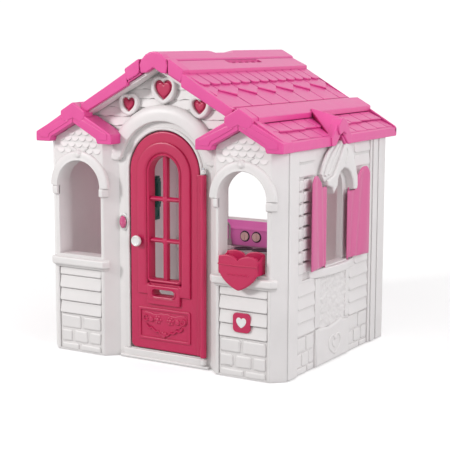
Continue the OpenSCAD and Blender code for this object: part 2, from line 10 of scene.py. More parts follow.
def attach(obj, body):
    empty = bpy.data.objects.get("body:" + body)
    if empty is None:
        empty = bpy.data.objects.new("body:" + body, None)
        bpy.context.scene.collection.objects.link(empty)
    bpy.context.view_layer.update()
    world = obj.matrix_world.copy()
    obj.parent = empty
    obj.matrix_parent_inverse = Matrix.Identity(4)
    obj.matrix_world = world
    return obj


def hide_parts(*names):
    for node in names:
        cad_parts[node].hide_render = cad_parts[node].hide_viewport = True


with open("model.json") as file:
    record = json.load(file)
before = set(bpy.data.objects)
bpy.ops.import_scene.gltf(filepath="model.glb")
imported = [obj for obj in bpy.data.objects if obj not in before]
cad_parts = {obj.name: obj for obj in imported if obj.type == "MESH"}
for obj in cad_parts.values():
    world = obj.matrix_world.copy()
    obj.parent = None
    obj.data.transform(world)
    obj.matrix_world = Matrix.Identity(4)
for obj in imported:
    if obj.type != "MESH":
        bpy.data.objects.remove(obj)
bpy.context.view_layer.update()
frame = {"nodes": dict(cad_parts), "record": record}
NODES = frame["nodes"]
MM = 0.001
rnd = random.Random(5)

# driving values in millimetres
DOOR_W, DOOR_A = 195, 910       # half width of the door, height of its arch's centre
WIN_X, WIN_W, WIN_A = 457, 126, 823     # windows of the bays: middle, half width, arch's centre
SIDE_Y, SIDE_W = -44.5, 113.5       # windows of the side walls: middle, half width
HINGE_X, HINGE_Y = 225, -527
KNOB_X, KNOB_Z = -140, 582
BELL_X, BELL_Z = -231, 663
BADGE_Z = 262
GABLE_K = 0.5367        # slope of the front gable's edge
PIN_X, PIN_Y = 668, 122     # shutter pins: out from the middle, and from the window's middle
SHUTTER_L, SHUTTER_T, SHUTTER_OPEN = 186, 16, 8.4
SAME = Matrix.Identity(4)


# ---------- placing and building, in millimetres ----------

def place(origin, u=(1, 0, 0), v=(0, 0, 1)):
    """Matrix of a drawing plane, by default facing the front: u right, v up, w = u x v out of the face."""
    u, v = Vector(u).normalized(), Vector(v).normalized()
    m = Matrix((u, v, u.cross(v))).transposed().to_4x4()
    m.translation = Vector(origin)
    return m


FRONT = place((0, 0, 0))
BACK = place((0, 0, 0), (-1, 0, 0), (0, 0, 1))
RIGHT = place((0, 0, 0), (0, 1, 0), (0, 0, 1))
TOP = place((0, 0, 0), (1, 0, 0), (0, 1, 0))
# profiles in x and z that run along y
LONG = Matrix(((1, 0, 0, 0), (0, 0, 1, 0), (0, 1, 0, 0), (0, 0, 0, 1)))
MIRROR = Matrix.Diagonal((-1, 1, 1, 1))


def put(name, data):
    o = bpy.data.objects.new(name, data)
    bpy.context.scene.collection.objects.link(o)
    return o


def as_mesh(bm, closed=True):
    """Mesh of a bmesh; the faces of a closed one are turned outwards."""
    if closed:
        bmesh.ops.recalc_face_normals(bm, faces=bm.faces)
    mesh = bpy.data.meshes.new("part")
    bm.to_mesh(mesh)
    bm.free()
    return mesh


class Shape:
    """Gathers the shells of one visible piece."""

    def __init__(self):
        self.bm = bmesh.new()

    def take(self, mesh, m=SAME):
        mesh.transform(m)
        if m.determinant() < 0:
            mesh.flip_normals()
        self.bm.from_mesh(mesh)
        bpy.data.meshes.remove(mesh)

    def copy(self, other, m):
        mesh = bpy.data.meshes.new("copy")
        other.bm.to_mesh(mesh)
        self.take(mesh, m)

    def done(self, name, material, body="house", nodes=(), angle=38):
        mesh = bpy.data.meshes.new(name)
        self.bm.to_mesh(mesh)
        mesh.transform(Matrix.Scale(MM, 4))
        mesh.polygons.foreach_set("use_smooth", [True] * len(mesh.polygons))
        mesh.set_sharp_from_angle(angle=math.radians(angle))
        mesh.materials.append(material)
        o = put(name, mesh)
        weigh(o)
        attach(o, body)
        if nodes:
            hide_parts(*nodes)
        return o


def weigh(o):
    mod = o.modifiers.new("normals", "WEIGHTED_NORMAL")
    mod.keep_sharp = True


def evaluated(data, modifiers=()):
    """Mesh of a curve or mesh after its modifiers."""
    o = put("tmp", data)
    for kind, values in modifiers:
        mod = o.modifiers.new(kind, kind)
        for key, value in values.items():
            setattr(mod, key, value)
    bpy.context.view_layer.update()
    dg = bpy.context.evaluated_depsgraph_get()
    mesh = bpy.data.meshes.new_from_object(o.evaluated_get(dg))
    bpy.data.objects.remove(o)
    return mesh


def plate(shape, m, outer, w0, w1, r=3.0, holes=(), steps=1, lean=None):
    """Flat plate with rounded edges. lean = (height, slope): it stands out more below that height."""
    curve = bpy.data.curves.new("plate", "CURVE")
    curve.dimensions = "2D"
    curve.fill_mode = "BOTH"
    r = min(r, (w1 - w0) / 2 - 0.01)
    curve.extrude = (w1 - w0) / 2 - r
    curve.bevel_depth = r
    curve.bevel_resolution = steps
    curve.offset = -r
    for outline in [outer, *holes]:
        spline = curve.splines.new("POLY")
        spline.points.add(len(outline) - 1)
        for p, (x, y) in zip(spline.points, outline):
            p.co = (x, y, 0, 1)
        spline.use_cyclic_u = True
    mesh = evaluated(curve)
    bpy.data.curves.remove(curve)
    mesh.transform(Matrix.Translation((0, 0, (w0 + w1) / 2)))
    if lean:
        for v in mesh.vertices:
            v.co.z += (lean[0] - v.co.y) * lean[1]
    shape.take(mesh, m)


def prism(m, outline, w0, w1):
    """Plain solid as a mesh, for cutting and bevelling."""
    bm = bmesh.new()
    low = [bm.verts.new((x, y, w0)) for x, y in outline]
    high = [bm.verts.new((x, y, w1)) for x, y in outline]
    bm.faces.new(high)
    bm.faces.new(low[::-1])
    for i in range(len(low)):
        j = (i + 1) % len(low)
        bm.faces.new((low[i], low[j], high[j], high[i]))
    mesh = as_mesh(bm)
    mesh.transform(m)
    if m.determinant() < 0:
        mesh.flip_normals()
    return mesh


def solid(shape, mesh, cuts=(), r=3.0, steps=3, angle=50):
    """Puts a prism into the piece, with other prisms cut out of it and its edges rounded."""
    mods, cutters = [], []
    for cut in cuts:
        o = put("cut", cut)
        cutters.append(o)
        mods.append(("BOOLEAN", {"object": o, "operation": "DIFFERENCE", "solver": "EXACT"}))
    if r:
        mods.append(("BEVEL", {"width": r, "segments": steps, "limit_method": "ANGLE",
                               "angle_limit": math.radians(angle), "use_clamp_overlap": True}))
    out = evaluated(mesh, mods)
    for o in cutters:
        data = o.data
        bpy.data.objects.remove(o)
        bpy.data.meshes.remove(data)
    shape.take(out)


def sweep(shape, m, path, profile, closed=False):
    """Moulding along a path in the plane. profile = closed loop of (offset to the left, height)."""
    bm = bmesh.new()
    n = len(path)
    rings = []
    for i, p in enumerate(path):
        p = Vector(p)
        a = Vector(path[i - 1]) if closed or i else None
        b = Vector(path[(i + 1) % n]) if closed or i < n - 1 else None
        d1 = (p - a).normalized() if a is not None else (b - p).normalized()
        d2 = (b - p).normalized() if b is not None else d1
        n1, n2 = Vector((-d1.y, d1.x)), Vector((-d2.y, d2.x))
        mid = (n1 + n2).normalized()
        mid /= max(mid.dot(n1), 0.3)
        rings.append([bm.verts.new((p.x + mid.x * d, p.y + mid.y * d, h)) for d, h in profile])
    k = len(profile)
    for i in range(n if closed else n - 1):
        a, b = rings[i], rings[(i + 1) % n]
        for j in range(k):
            bm.faces.new((a[j], b[j], b[(j + 1) % k], a[(j + 1) % k]))
    if not closed:
        bm.faces.new(rings[0])
        bm.faces.new(rings[-1][::-1])
    shape.take(as_mesh(bm), m)


def lathe(shape, m, profile, n=48):
    """Turned solid around w; profile = (radius, height) from one end of the axis to the other."""
    bm = bmesh.new()
    rings = []
    for r, h in profile:
        if r < 0.01:
            rings.append([bm.verts.new((0, 0, h))])
        else:
            rings.append([bm.verts.new((r * math.cos(2 * math.pi * i / n),
                                        r * math.sin(2 * math.pi * i / n), h)) for i in range(n)])
    for a, b in zip(rings, rings[1:]):
        for i in range(n):
            j = (i + 1) % n
            ring = [a[i % len(a)], a[j % len(a)], b[j % len(b)], b[i % len(b)]]
            face = list(dict.fromkeys(ring))
            if len(face) > 2:
                bm.faces.new(face)
    shape.take(as_mesh(bm), m)


def rod(shape, m, points, r, n=12):
    """Round bar through points."""
    curve = bpy.data.curves.new("rod", "CURVE")
    curve.dimensions = "3D"
    curve.bevel_depth = r
    curve.bevel_resolution = max(1, n // 4 - 1)
    curve.use_fill_caps = True
    spline = curve.splines.new("POLY")
    spline.points.add(len(points) - 1)
    for p, q in zip(spline.points, points):
        p.co = (*q, 1)
    mesh = evaluated(curve)
    bpy.data.curves.remove(curve)
    shape.take(mesh, m)


# ---------- outlines ----------

def box(x0, y0, x1, y1):
    return [(x0, y0), (x1, y0), (x1, y1), (x0, y1)]


def rounded(x0, y0, x1, y1, r, n=4):
    pts = []
    for cx, cy, a in ((x1 - r, y0 + r, -90), (x1 - r, y1 - r, 0), (x0 + r, y1 - r, 90),
                      (x0 + r, y0 + r, 180)):
        for i in range(n + 1):
            t = math.radians(a + 90 * i / n)
            pts.append((cx + r * math.cos(t), cy + r * math.sin(t)))
    return pts


def arc(cx, cy, r, a0, a1, n=24):
    return [(cx + r * math.cos(math.radians(a0 + (a1 - a0) * i / n)),
             cy + r * math.sin(math.radians(a0 + (a1 - a0) * i / n))) for i in range(n + 1)]


def arch(x, w, z0, za, n=32):
    """Upright opening with a round top."""
    return [(x - w, z0), (x + w, z0), *arc(x, za, w, 0, 180, n)]


def heart(x, z, w, h, n=48):
    """Heart with full sides: two round lobes and a curve from each down to the tip."""
    r = 0.27 * w
    c = w / 2 - r
    top = h / 2 - r
    k = max(4, n // 4)
    side = []
    for i in range(k):
        t = i / k
        a, b, d, e = (1 - t) ** 3, 3 * t * (1 - t) ** 2, 3 * t * t * (1 - t), t ** 3
        side.append((b * 0.17 * w + d * w / 2 + e * w / 2,
                     -a * h / 2 + b * (-h / 2 + 0.10 * h) + d * (top - 0.34 * h) + e * top))
    stop = math.degrees(math.acos(-c / r))
    half = side + arc(c, top, r, 0, stop, k)
    return [(x + px, z + pz) for px, pz in half] + [(x - px, z + pz) for px, pz in reversed(half[1:-1])]


def shield(x, z, w, h, grow, smooth=0.5, n=72):
    """Outline around a heart: wider by grow, and smoothed towards an egg shape."""
    base = heart(0, 0, w, h, 360)
    pts = []
    for i in range(n):
        a = 2 * math.pi * i / n
        best = max(base, key=lambda p: (p[0] * math.cos(a) + p[1] * math.sin(a)) / math.hypot(*p))
        r = math.hypot(*best)
        egg = w / 2 * (1 - 0.16 * abs(math.sin(a)) ** 3 + (0.10 if math.sin(a) < 0 else 0) * math.sin(a) ** 2)
        r = r + (max(r, egg) - r) * smooth + grow
        pts.append((x + r * math.cos(a), z + r * math.sin(a)))
    return pts


def both(p):
    """An outline and its mirror image, as one closed path."""
    return p + [(-x, y) for x, y in reversed(p) if abs(x) > 1e-6]


# ---------- materials ----------

def linear(c):
    return tuple(((v / 255 + 0.055) / 1.055) ** 2.4 if v > 10 else v / 255 / 12.92 for v in c)


def plastic(name, rgb, rough=0.42, grain=0.5, tone=0.03, coat=0.0, dust_and_shade=0.25):
    """Moulded plastic: faint cloudy colour, satin skin with fine grain, and painted shade in the corners that
    also stands for dust.
    """
    mat = bpy.data.materials.new(name)
    mat.use_nodes = True
    t = mat.node_tree
    t.nodes.clear()

    def node(kind, **values):
        n = t.nodes.new(kind)
        for key, value in values.items():
            if key in n.inputs:
                n.inputs[key].default_value = value
            else:
                setattr(n, key, value)
        return n

    def link(a, b):
        t.links.new(a, b)

    out = node("ShaderNodeOutputMaterial")
    sh = node("ShaderNodeBsdfPrincipled", Roughness=rough, IOR=1.5,
              **{"Coat Weight": coat, "Coat Roughness": 0.2})
    link(sh.outputs[0], out.inputs[0])
    pos = node("ShaderNodeTexCoord").outputs["Object"]
    cloud = node("ShaderNodeTexNoise", Scale=5.0, Detail=5.0, Roughness=0.6)
    fine = node("ShaderNodeTexNoise", Scale=420.0, Detail=3.0, Roughness=0.6)
    wave = node("ShaderNodeTexNoise", Scale=16.0, Detail=2.0, Roughness=0.4)
    for n in (cloud, fine, wave):
        link(pos, n.inputs["Vector"])
    col = linear(rgb)
    shade = node("ShaderNodeValToRGB")
    dark, light = shade.color_ramp.elements
    dark.position, light.position = 0.3, 0.7
    dark.color = (*[c * (1 - tone) for c in col], 1)
    light.color = (*[min(1, c * (1 + tone)) for c in col], 1)
    link(cloud.outputs["Fac"], shade.inputs["Fac"])
    # painted shade: ambient occlusion darkens the colour in corners and crevices, also meant as dust
    ao = node("ShaderNodeAmbientOcclusion", samples=4, Distance=0.025)
    ramp = node("ShaderNodeMapRange", **{"From Min": 0.25, "From Max": 0.9, "To Min": 1 - dust_and_shade,
                                         "To Max": 1.0})
    link(ao.outputs["AO"], ramp.inputs["Value"])
    mix = node("ShaderNodeMix", data_type="RGBA", blend_type="MULTIPLY")
    mix.inputs["Factor"].default_value = 1.0
    link(shade.outputs["Color"], mix.inputs["A"])
    link(ramp.outputs["Result"], mix.inputs["B"])
    link(mix.outputs["Result"], sh.inputs["Base Color"])
    spread = node("ShaderNodeMapRange", **{"To Min": rough - 0.07, "To Max": rough + 0.07})
    link(cloud.outputs["Fac"], spread.inputs["Value"])
    link(spread.outputs["Result"], sh.inputs["Roughness"])
    low = node("ShaderNodeBump", Strength=0.25, Distance=0.004)
    link(wave.outputs["Fac"], low.inputs["Height"])
    high = node("ShaderNodeBump", Strength=grain, Distance=0.0004)
    link(fine.outputs["Fac"], high.inputs["Height"])
    link(low.outputs["Normal"], high.inputs["Normal"])
    link(high.outputs["Normal"], sh.inputs["Normal"])
    return mat


def metal(name, rgb, rough=0.35):
    mat = plastic(name, rgb, rough, 0.4, 0.06, dust_and_shade=0.3)
    for n in mat.node_tree.nodes:
        if n.type == "BSDF_PRINCIPLED":
            n.inputs["Metallic"].default_value = 1.0
    return mat


WHITE = plastic("wall_plastic", (236, 232, 231))
PINK = plastic("roof_plastic", (232, 76, 156), 0.34, dust_and_shade=0.35, coat=0.1)
RED = plastic("door_plastic", (196, 24, 83), 0.36)
ROSE = plastic("shutter_plastic", (217, 104, 155), 0.40)
MILK = plastic("white_plastic", (240, 240, 238), 0.25, 0.2, coat=0.3)
GREY = plastic("grey_plastic", (165, 160, 160), 0.45)
PALE = plastic("dial_plastic", (238, 214, 206), 0.4)
ORCHID = plastic("purple_plastic", (240, 134, 210), 0.4)
DARK = plastic("dark_plastic", (45, 45, 50), 0.4)
TEAL = plastic("teal_plastic", (35, 95, 85), 0.3)
GEM = plastic("gem_plastic", (205, 52, 122), 0.12, 0.1, coat=0.9)
STEEL = metal("steel", (185, 187, 192))
BOARD = plastic("circuit_board", (20, 95, 45), 0.5)


# ---------- front wall ----------

def clear_of_arch(z):
    """Half width at height z that the boards leave free for the arch over the door."""
    return math.sqrt(max(0, 300 ** 2 - (z - DOOR_A) ** 2))


front = Shape()
hearts = [(0, 1297, 98, 91), (198, 1224, 72, 66), (-198, 1224, 72, 66)]
low_part = [(609, 3), (609, 1056), (251, 1056), *arc(0, DOOR_A, 290, 30, 150, 30), (-251, 1056), (-609, 1056),
            (-609, 3)]
plate(front, FRONT, low_part, 461, 511, 3, [arch(0, DOOR_W + 6, 52, DOOR_A, 40), box(-590, 430, -315, 1010),
      box(315, 430, 590, 1010)], steps=2)
plate(front, FRONT, both([(0, 1409), (600, 1087), (600, 1030), (240, 1030), (0, 1190)]), 461, 493, 2)
for x, z, w, h in hearts:
    plate(front, FRONT, shield(x, z, w, h, 20), 470, 523, 8, [heart(x, z, w, h)], steps=4)
# boards of the gable with wavy lower edges, behind hearts and arch
for i, z in enumerate([1340, 1296, 1252, 1208, 1164, 1120, 1076]):
    top, x_low, x_top = z + 46, (1410 - z) / GABLE_K - 6, (1410 - z - 46) / GABLE_K - 6
    x_low, x_top = min(x_low, 600), min(max(x_top, 4), 600)
    spans = [(-x_low, x_low)] if z > 1205 else [(clear_of_arch(z), x_low)]
    for a, b in spans:
        n = int((b - a) / 9)
        low = []
        for k in range(n + 1):
            x = a + (b - a) * k / n
            low.append((x, z + 4 * abs(math.sin(x / 31 + i * 1.9)) + 1.6 * math.sin(x / 9 + i)))
        if a < 0:
            plate(front, FRONT, low + [(x_top, top), (-x_top, top)], 480, 497, 2, steps=1, lean=(top, 0.13))
        else:
            inner = [(clear_of_arch(top - 46 * k / 5), top - 46 * k / 5) for k in range(5)]
            outline = low + [(x_top, top)] + inner
            plate(front, FRONT, outline, 480, 497, 2, steps=1, lean=(top, 0.13))
            plate(front, FRONT, [(-x, q) for x, q in reversed(outline)], 480, 497, 2, steps=1,
                  lean=(top, 0.13))
# lining under the roof's overhang
for side in (-1, 1):
    line = [(0, 1408), (470 * side, 1156), (470 * side, 1138), (0, 1392)]
    plate(front, FRONT, line, 505, 574, 2)
# door frame bead, arch and step
bead = [(-201, 52), (-201, DOOR_A), *arc(0, DOOR_A, 201, 180, 0, 40)[1:-1], (201, DOOR_A), (201, 52)]
sweep(front, FRONT, bead, [(0, 505), (0, 514), (2, 517), (6, 518.5), (11, 518), (15, 514), (16, 505)])
band = arc(0, DOOR_A, 279, 165, 15, 48)
sweep(front, FRONT, band, [(-36, 490), (-36, 531), (-34, 536), (-29, 538), (0, 538), (20, 534), (34, 525),
                           (40, 514), (41, 490)])
for side in (-1, 1):
    foot = [(241, 994), (320, 990), (320, 980), (312, 968), (296, 960), (266, 957), (246, 961), (241, 970)]
    foot = [(side * x, z) for x, z in foot]
    plate(front, FRONT, foot[::-side], 495, 537, 9, steps=4)
plate(front, FRONT, box(-236, 4, 236, 48), 500, 522, 5, steps=2)
plate(front, FRONT, box(-252, 2, 252, 16), 500, 530, 4, steps=2)


def bay():
    """One bay, drawn on the right; it is mirrored for the left."""
    s = Shape()
    plan = [(261, -511), (314, -564), (316, -566), (320, -568), (601, -568), (605, -566), (607, -564),
            (660, -511), (609, -511), (609, -487), (261, -487)]
    z_top = 1038
    body = prism(TOP, plan, 2, 1140)
    gap = prism(FRONT, [(250, z_top), (316, z_top), (324, 1060), (446, 1126), (458, 1132), (470, 1126),
                        (592, 1060), (600, z_top), (680, z_top), (680, 1200), (250, 1200)], 400, 640)
    hole = prism(FRONT, arch(WIN_X, WIN_W, 487, WIN_A, 40), 400, 640)
    panel = prism(FRONT, box(333, 12, 589, 425), 558, 640)
    solid(s, body, [gap, hole, panel], 4, 3)
    # boards and stones below the sill
    for z0, z1 in ((382, 424), (317, 379), (253, 314), (190, 250)):
        plate(s, FRONT, rounded(335, z0, 587, z1, 9), 548, 561, 5, steps=3, lean=(z1, 0.19))
    plate(s, FRONT, box(334, 8, 588, 187), 545, 563, 2)
    for z0, z1, cuts in ((116, 182, (335, 455, 587)), (48, 108, (335, 415, 510, 587)),
                         (6, 41, (335, 470, 587))):
        for x0, x1 in zip(cuts, cuts[1:]):
            outline = [(x + rnd.uniform(-2, 2), z + rnd.uniform(-2, 2))
                       for x, z in rounded(x0 + 6, z0, x1 - 6, z1, 10, 3)]
            plate(s, FRONT, outline, 545, 570 + rnd.uniform(-1, 1), 9, steps=3)
    # sill and capitals turn the corners a little
    sill = [(0, 422), (6, 423), (9, 430), (17, 434), (21, 438), (22, 442), (22, 464), (20, 469), (15, 472),
            (-12, 474), (-12, 422)]
    path = [(300, -550), (318, -568), (603, -568), (621, -550)]
    sweep(s, TOP, path[::-1], sill)
    cap = [(0, 780), (9, 780), (13, 782), (15, 786), (15, 814), (13, 819), (8, 822), (0, 823), (-6, 823),
           (-6, 780)]
    sweep(s, TOP, [(331, -568), path[1], path[0]], cap)
    sweep(s, TOP, [path[3], path[2], (583, -568)], cap)
    # hood over the window with a boss
    hood = arc(WIN_X, WIN_A, 150, 0, 180, 44)
    sweep(s, FRONT, hood, [(-24, 560), (-24, 570), (-21, 575), (-14, 579), (2, 580), (10, 579), (14, 581),
                           (21, 581), (24, 577), (25, 560)])
    lathe(s, place((WIN_X - 2, -577, 978)), [(23, -10), (23, 0), (19, 4), (16, 4), (13, 8), (7, 11), (0, 12)],
          28)
    # scales above the hood, in staggered rows
    for row in range(11):
        z = 856 + 29 * row
        for col in range(-4, 5):
            x = WIN_X + (col + 0.5 * (row % 2)) * 43
            roof = 1132 - 0.52 * abs(x - 458) - 10
            if math.hypot(x - WIN_X, z - WIN_A) < 176 or z > roof or abs(x - WIN_X) > 124:
                continue
            scale = [(x - 23, z + 27), (x - 23, z + 6), *arc(x, z + 6, 23, 180, 360, 12)[1:-1],
                     (x + 23, z + 6), (x + 23, z + 27)]
            plate(s, FRONT, scale, 556, 564 + 0.25 * (col % 2), 2, steps=2, lean=(z + 27, 0.19))
    # twig over the boss
    for side in (-1, 1):
        leaf = [(14, 988), (36, 994), (62, 1012), (44, 1016), (22, 1010), (8, 1000)]
        leaf = [(WIN_X + side * x, z) for x, z in leaf]
        plate(s, FRONT, leaf[::side], 555, 573, 5, steps=2)
    # smooth corner posts
    for x0, x1 in ((320, 332), (590, 602)):
        plate(s, FRONT, box(x0, 6, x1, 420), 564, 569.5, 2.5, steps=2)
    return s


# built twice, so that the stones of the two bays differ
front.copy(bay(), SAME)
front.copy(bay(), MIRROR)
# lugs of the hinge rod
for z0, z1 in ((22, 53), (919, 940)):
    lathe(front, Matrix.Translation((HINGE_X, HINGE_Y, z0)),
          [(0, 0), (9, 0), (12, 3), (12, z1 - z0 - 5), (7, z1 - z0), (0, z1 - z0)], 32)
    plate(front, FRONT, box(216, z0 + 1, 234, z1 - 3), 506, 527, 3)
front.done("front_wall_shell", WHITE, nodes=["front_wall"])

# ---------- side walls ----------


def side_wall():
    """The right wall with its outer face at x = 660; it is mirrored for the left."""
    s = Shape()
    body = prism(RIGHT, box(-511, 2, 511, 1049), 611, 652)
    hole = prism(RIGHT, arch(SIDE_Y, SIDE_W, 474, 820, 40), 560, 760)
    recess = prism(RIGHT, [(-358, 440), (SIDE_Y, 440), (SIDE_Y, 478), (150, 478), (150, 912), (-358, 912)],
                   640, 760)
    solid(s, body, [recess, hole], 4, 3)
    # corner posts; the one at the back is grooved
    plate(s, RIGHT, rounded(-509, 3, -421, 1047, 8), 640, 667, 8, steps=4)
    for y0, y1, w in ((341, 362, 663), (366, 404, 668), (408, 430, 663), (434, 509, 667)):
        plate(s, RIGHT, rounded(y0, 3, y1, 1047, 5), 640, w, 5, steps=3)
    # boards above and below the window, stones at the foot
    for y0, y1, high in ((-417, -240, -352), (124, 337, 166)):
        for k in range(4):
            z1 = 430 - 62 * k
            if k or y0 < 0:
                plate(s, RIGHT, rounded(y0, z1 - 59, y1, z1, 14), 636, 652, 6, steps=3, lean=(z1, 0.17))
        for z0, z1, cuts in ((110, 180, (0, 0.52, 1)), (40, 103, (0, 0.3, 0.68, 1)), (5, 34, (0, 0.6, 1))):
            for a, b in zip(cuts, cuts[1:]):
                x0, x1 = y0 + (y1 - y0) * a + 4, y0 + (y1 - y0) * b - 4
                outline = [(x + rnd.uniform(-2, 2), z + rnd.uniform(-2, 2))
                           for x, z in rounded(x0, z0, x1, z1, 10, 3)]
                plate(s, RIGHT, outline, 636, 658 + rnd.uniform(-1.5, 1.5), 6, steps=3)
        for z0, z1 in ((917, 977), (984, 1044)):
            a, b = (y0, high) if y0 < 0 else (high, y1)
            if y0 < 0:
                b = -262 if z0 < 950 else -246
            plate(s, RIGHT, rounded(a, z0, b, z1, 14), 636, 655, 6, steps=3, lean=(z1, 0.12))
    plate(s, RIGHT, rounded(124, 371, 337, 430, 14), 636, 652, 6, steps=3, lean=(430, 0.17))
    for k in range(7):
        z1 = 492 + 62 * k
        plate(s, RIGHT, rounded(152 if k else 190, z1 - 59, 337, z1, 12), 636, 651, 6, steps=2,
              lean=(z1, 0.15))
    # cushion-like stones beside the recess, in two columns
    for k in range(8):
        z0 = 472 + 55 * k
        for a, b, w in ((-418, -366, 666), (-360, -278, 661)):
            b -= 6 * (k % 2)
            stone = [(a, z0 + 2), (b - 14, z0), (b - 4, z0 + 5), (b, z0 + 17), (b, z0 + 34), (b - 4, z0 + 45),
                     (b - 14, z0 + 50), (a, z0 + 50)]
            stone = [(y + rnd.uniform(-1.5, 1.5), z + rnd.uniform(-1.5, 1.5)) for y, z in stone]
            plate(s, RIGHT, stone, 622, w + rnd.uniform(-1.5, 1.5), 10, steps=4)
    # pointed hood: broad legs, a ribbed fan on the front side and an embossed scroll in the middle
    hood = [(-107, 815), (-70, 848), (-66, 880), (-50, 905), (-22, 922), (8, 926), (40, 918), (70, 898),
            (92, 874), (104, 846), (106, 814), (143, 813), (152, 832), (152, 872), (138, 930), (118, 972),
            (84, 1022), (40, 1050), (-10, 1062), (-30, 1046), (-90, 1040), (-150, 1000), (-190, 950),
            (-206, 905), (-188, 880), (-140, 866), (-122, 850)]
    plate(s, RIGHT, hood, 630, 672, 7, steps=4)
    bell = [(-66, 884), (-40, 914), (0, 928), (40, 920), (72, 898), (98, 862), (106, 816), (142, 813),
            (150, 834), (146, 880), (120, 940), (84, 1000), (60, 1036), (28, 1050), (-2, 1036), (-36, 990),
            (-70, 950), (-112, 900), (-178, 884), (-172, 862), (-122, 846), (-107, 817), (-72, 850)]
    plate(s, RIGHT, bell, 640, 686, 9, steps=4)
    ribs = (([(-229, 915), (-206, 962), (-166, 1006), (-118, 1036)], 8, 674),
            ([(-190, 908), (-160, 956), (-112, 1004), (-60, 1040)], 9, 674),
            ([(-146, 908), (-112, 946), (-66, 996), (-24, 1040)], 7, 670))
    for pts, r, w in ribs:
        path = []
        for a, b in zip(pts, pts[1:]):
            path += [(a[0] + (b[0] - a[0]) * t / 3, a[1] + (b[1] - a[1]) * t / 3, w) for t in range(3)]
        rod(s, RIGHT, path + [(*pts[-1], 672)], r, 12)
    scroll = [(18 + 10 * math.sin(t * 5.2), 1020 - 74 * t, 685) for t in [i / 14 for i in range(15)]]
    rod(s, RIGHT, scroll, 5, 10)
    # bowed sill
    bow = [(650 + 42 * (1 - (i / 12) ** 2), SIDE_Y + 236 * i / 12) for i in range(-12, 13)]
    bow = [(636, SIDE_Y - 240), *bow, (636, SIDE_Y + 240)]
    solid(s, prism(TOP, bow, 432, 474), (), 8, 4)
    plate(s, RIGHT, box(SIDE_Y - 118, 466, SIDE_Y + 118, 480), 618, 668, 4, steps=3)
    # rough panel between two smooth uprights
    for a0, a1 in ((-237, -190), (84, 120)):
        plate(s, RIGHT, rounded(a0, 190, a1, 430, 8), 636, 660, 6, steps=3)
    bm = bmesh.new()
    nx, nz = 72, 60
    grid = []
    for i in range(nx + 1):
        row = []
        for k in range(nz + 1):
            y, z = -194 + 282 * i / nx, 180 + 252 * k / nz
            n = noise.noise(Vector((y / 34, z / 26, 3))) + 0.8 * noise.noise(Vector((y / 13, z / 12, 8)))
            row.append(bm.verts.new((y, z, 654 + 5.5 * n)))
        grid.append(row)
    for i in range(nx):
        for k in range(nz):
            bm.faces.new((grid[i][k], grid[i + 1][k], grid[i + 1][k + 1], grid[i][k + 1]))
    s.take(as_mesh(bm, closed=False), RIGHT)
    # foot of the panel with an embossed heart
    plinth = [(-237, 4), (120, 4), (120, 178), (66, 184), (28, 196), (-40, 184), (-110, 176), (-170, 186),
              (-237, 184)]
    plate(s, RIGHT, plinth, 636, 667, 12, steps=4)
    sweep(s, RIGHT, heart(SIDE_Y, 82, 124, 92, 48), [(7, 660), (6, 669), (0, 672), (-6, 669), (-7, 660)],
          True)
    plate(s, RIGHT, heart(SIDE_Y, 84, 56, 42), 660, 670, 3, steps=3)
    return s


wall = side_wall()
# screw tabs inside
for z in (140, 380, 1000):
    plate(wall, BACK, box(-609, z - 26, -574, z + 26), -461, -447, 3)
    plate(wall, BACK, box(-609, z - 26, -574, z + 26), 504, 517, 3)
for node, m in (("right_wall", SAME), ("left_wall", MIRROR)):
    s = Shape()
    s.copy(wall, m)
    s.done(node + "_shell", WHITE, nodes=[node])

# ---------- back wall ----------

s = Shape()
outline = both([(0, 1409), (600, 1087), (600, 1048), (604, 1048), (604, 3)])
window = [(-300, 545), (300, 545), *arc(0, 495, 430, 45.8, 134.2, 30)]
plate(s, BACK, outline, 518, 568, 4, [window], steps=2)
for a in (-1, 1):
    post = [(a * 600, 518), (a * 609, 518), (a * 609, 512), (a * 659, 512), (a * 602, 567), (a * 598, 567)]
    mesh = prism(TOP, post if a < 0 else post[::-1], 3, 1048)
    solid(s, mesh, (), 2, 2)
    plate(s, BACK, rounded(a * 560 - 34, 4, a * 560 + 34, 1046, 8), 555, 576, 7, steps=3)
for k in range(5):
    z1 = 530 - 66 * k
    plate(s, BACK, rounded(-520, z1 - 63, 520, z1, 12), 553, 563, 4, steps=2, lean=(z1, 0.14))
for z0, z1, n in ((122, 192, 5), (52, 116, 6), (6, 46, 5)):
    for i in range(n):
        x0, x1 = -520 + 1040 * i / n + 4, -520 + 1040 * (i + 1) / n - 4
        pts = [(x + rnd.uniform(-3, 3), z + rnd.uniform(-2, 2)) for x, z in rounded(x0, z0, x1, z1, 10, 3)]
        plate(s, BACK, pts, 553, 574 + rnd.uniform(-2, 2), 6, steps=2)
for a in (-1, 1):
    for k in range(7):
        z1 = 1000 - 66 * k
        x0, x1 = sorted((a * 348, a * 520))
        plate(s, BACK, rounded(x0, z1 - 63, x1, z1, 12), 553, 563, 4, steps=2, lean=(z1, 0.14))
for z0 in (1012, 1078, 1144, 1210):
    x1 = (1410 - z0 - 63) / GABLE_K - 14
    plate(s, BACK, [(-x1, z0), (x1, z0), (x1, z0 + 60), (-x1, z0 + 60)], 553, 563, 4, steps=2,
          lean=(z0 + 60, 0.12))
frame_path = [(-318, 530), (318, 530), *arc(0, 495, 452, 45, 135, 30)]
sweep(s, BACK, frame_path, [(-20, 560), (-19, 578), (-14, 583), (6, 583), (12, 578), (14, 560)], True)
sweep(s, BACK, heart(0, 1180, 150, 140, 64), [(12, 560), (11, 572), (4, 577), (-4, 577), (-11, 572),
                                              (-12, 560)], True)
plate(s, BACK, rounded(-350, 512, 350, 548, 10), 560, 596, 8, steps=3)
s.done("back_wall_shell", WHITE, nodes=["back_wall"])

# ---------- shutters ----------


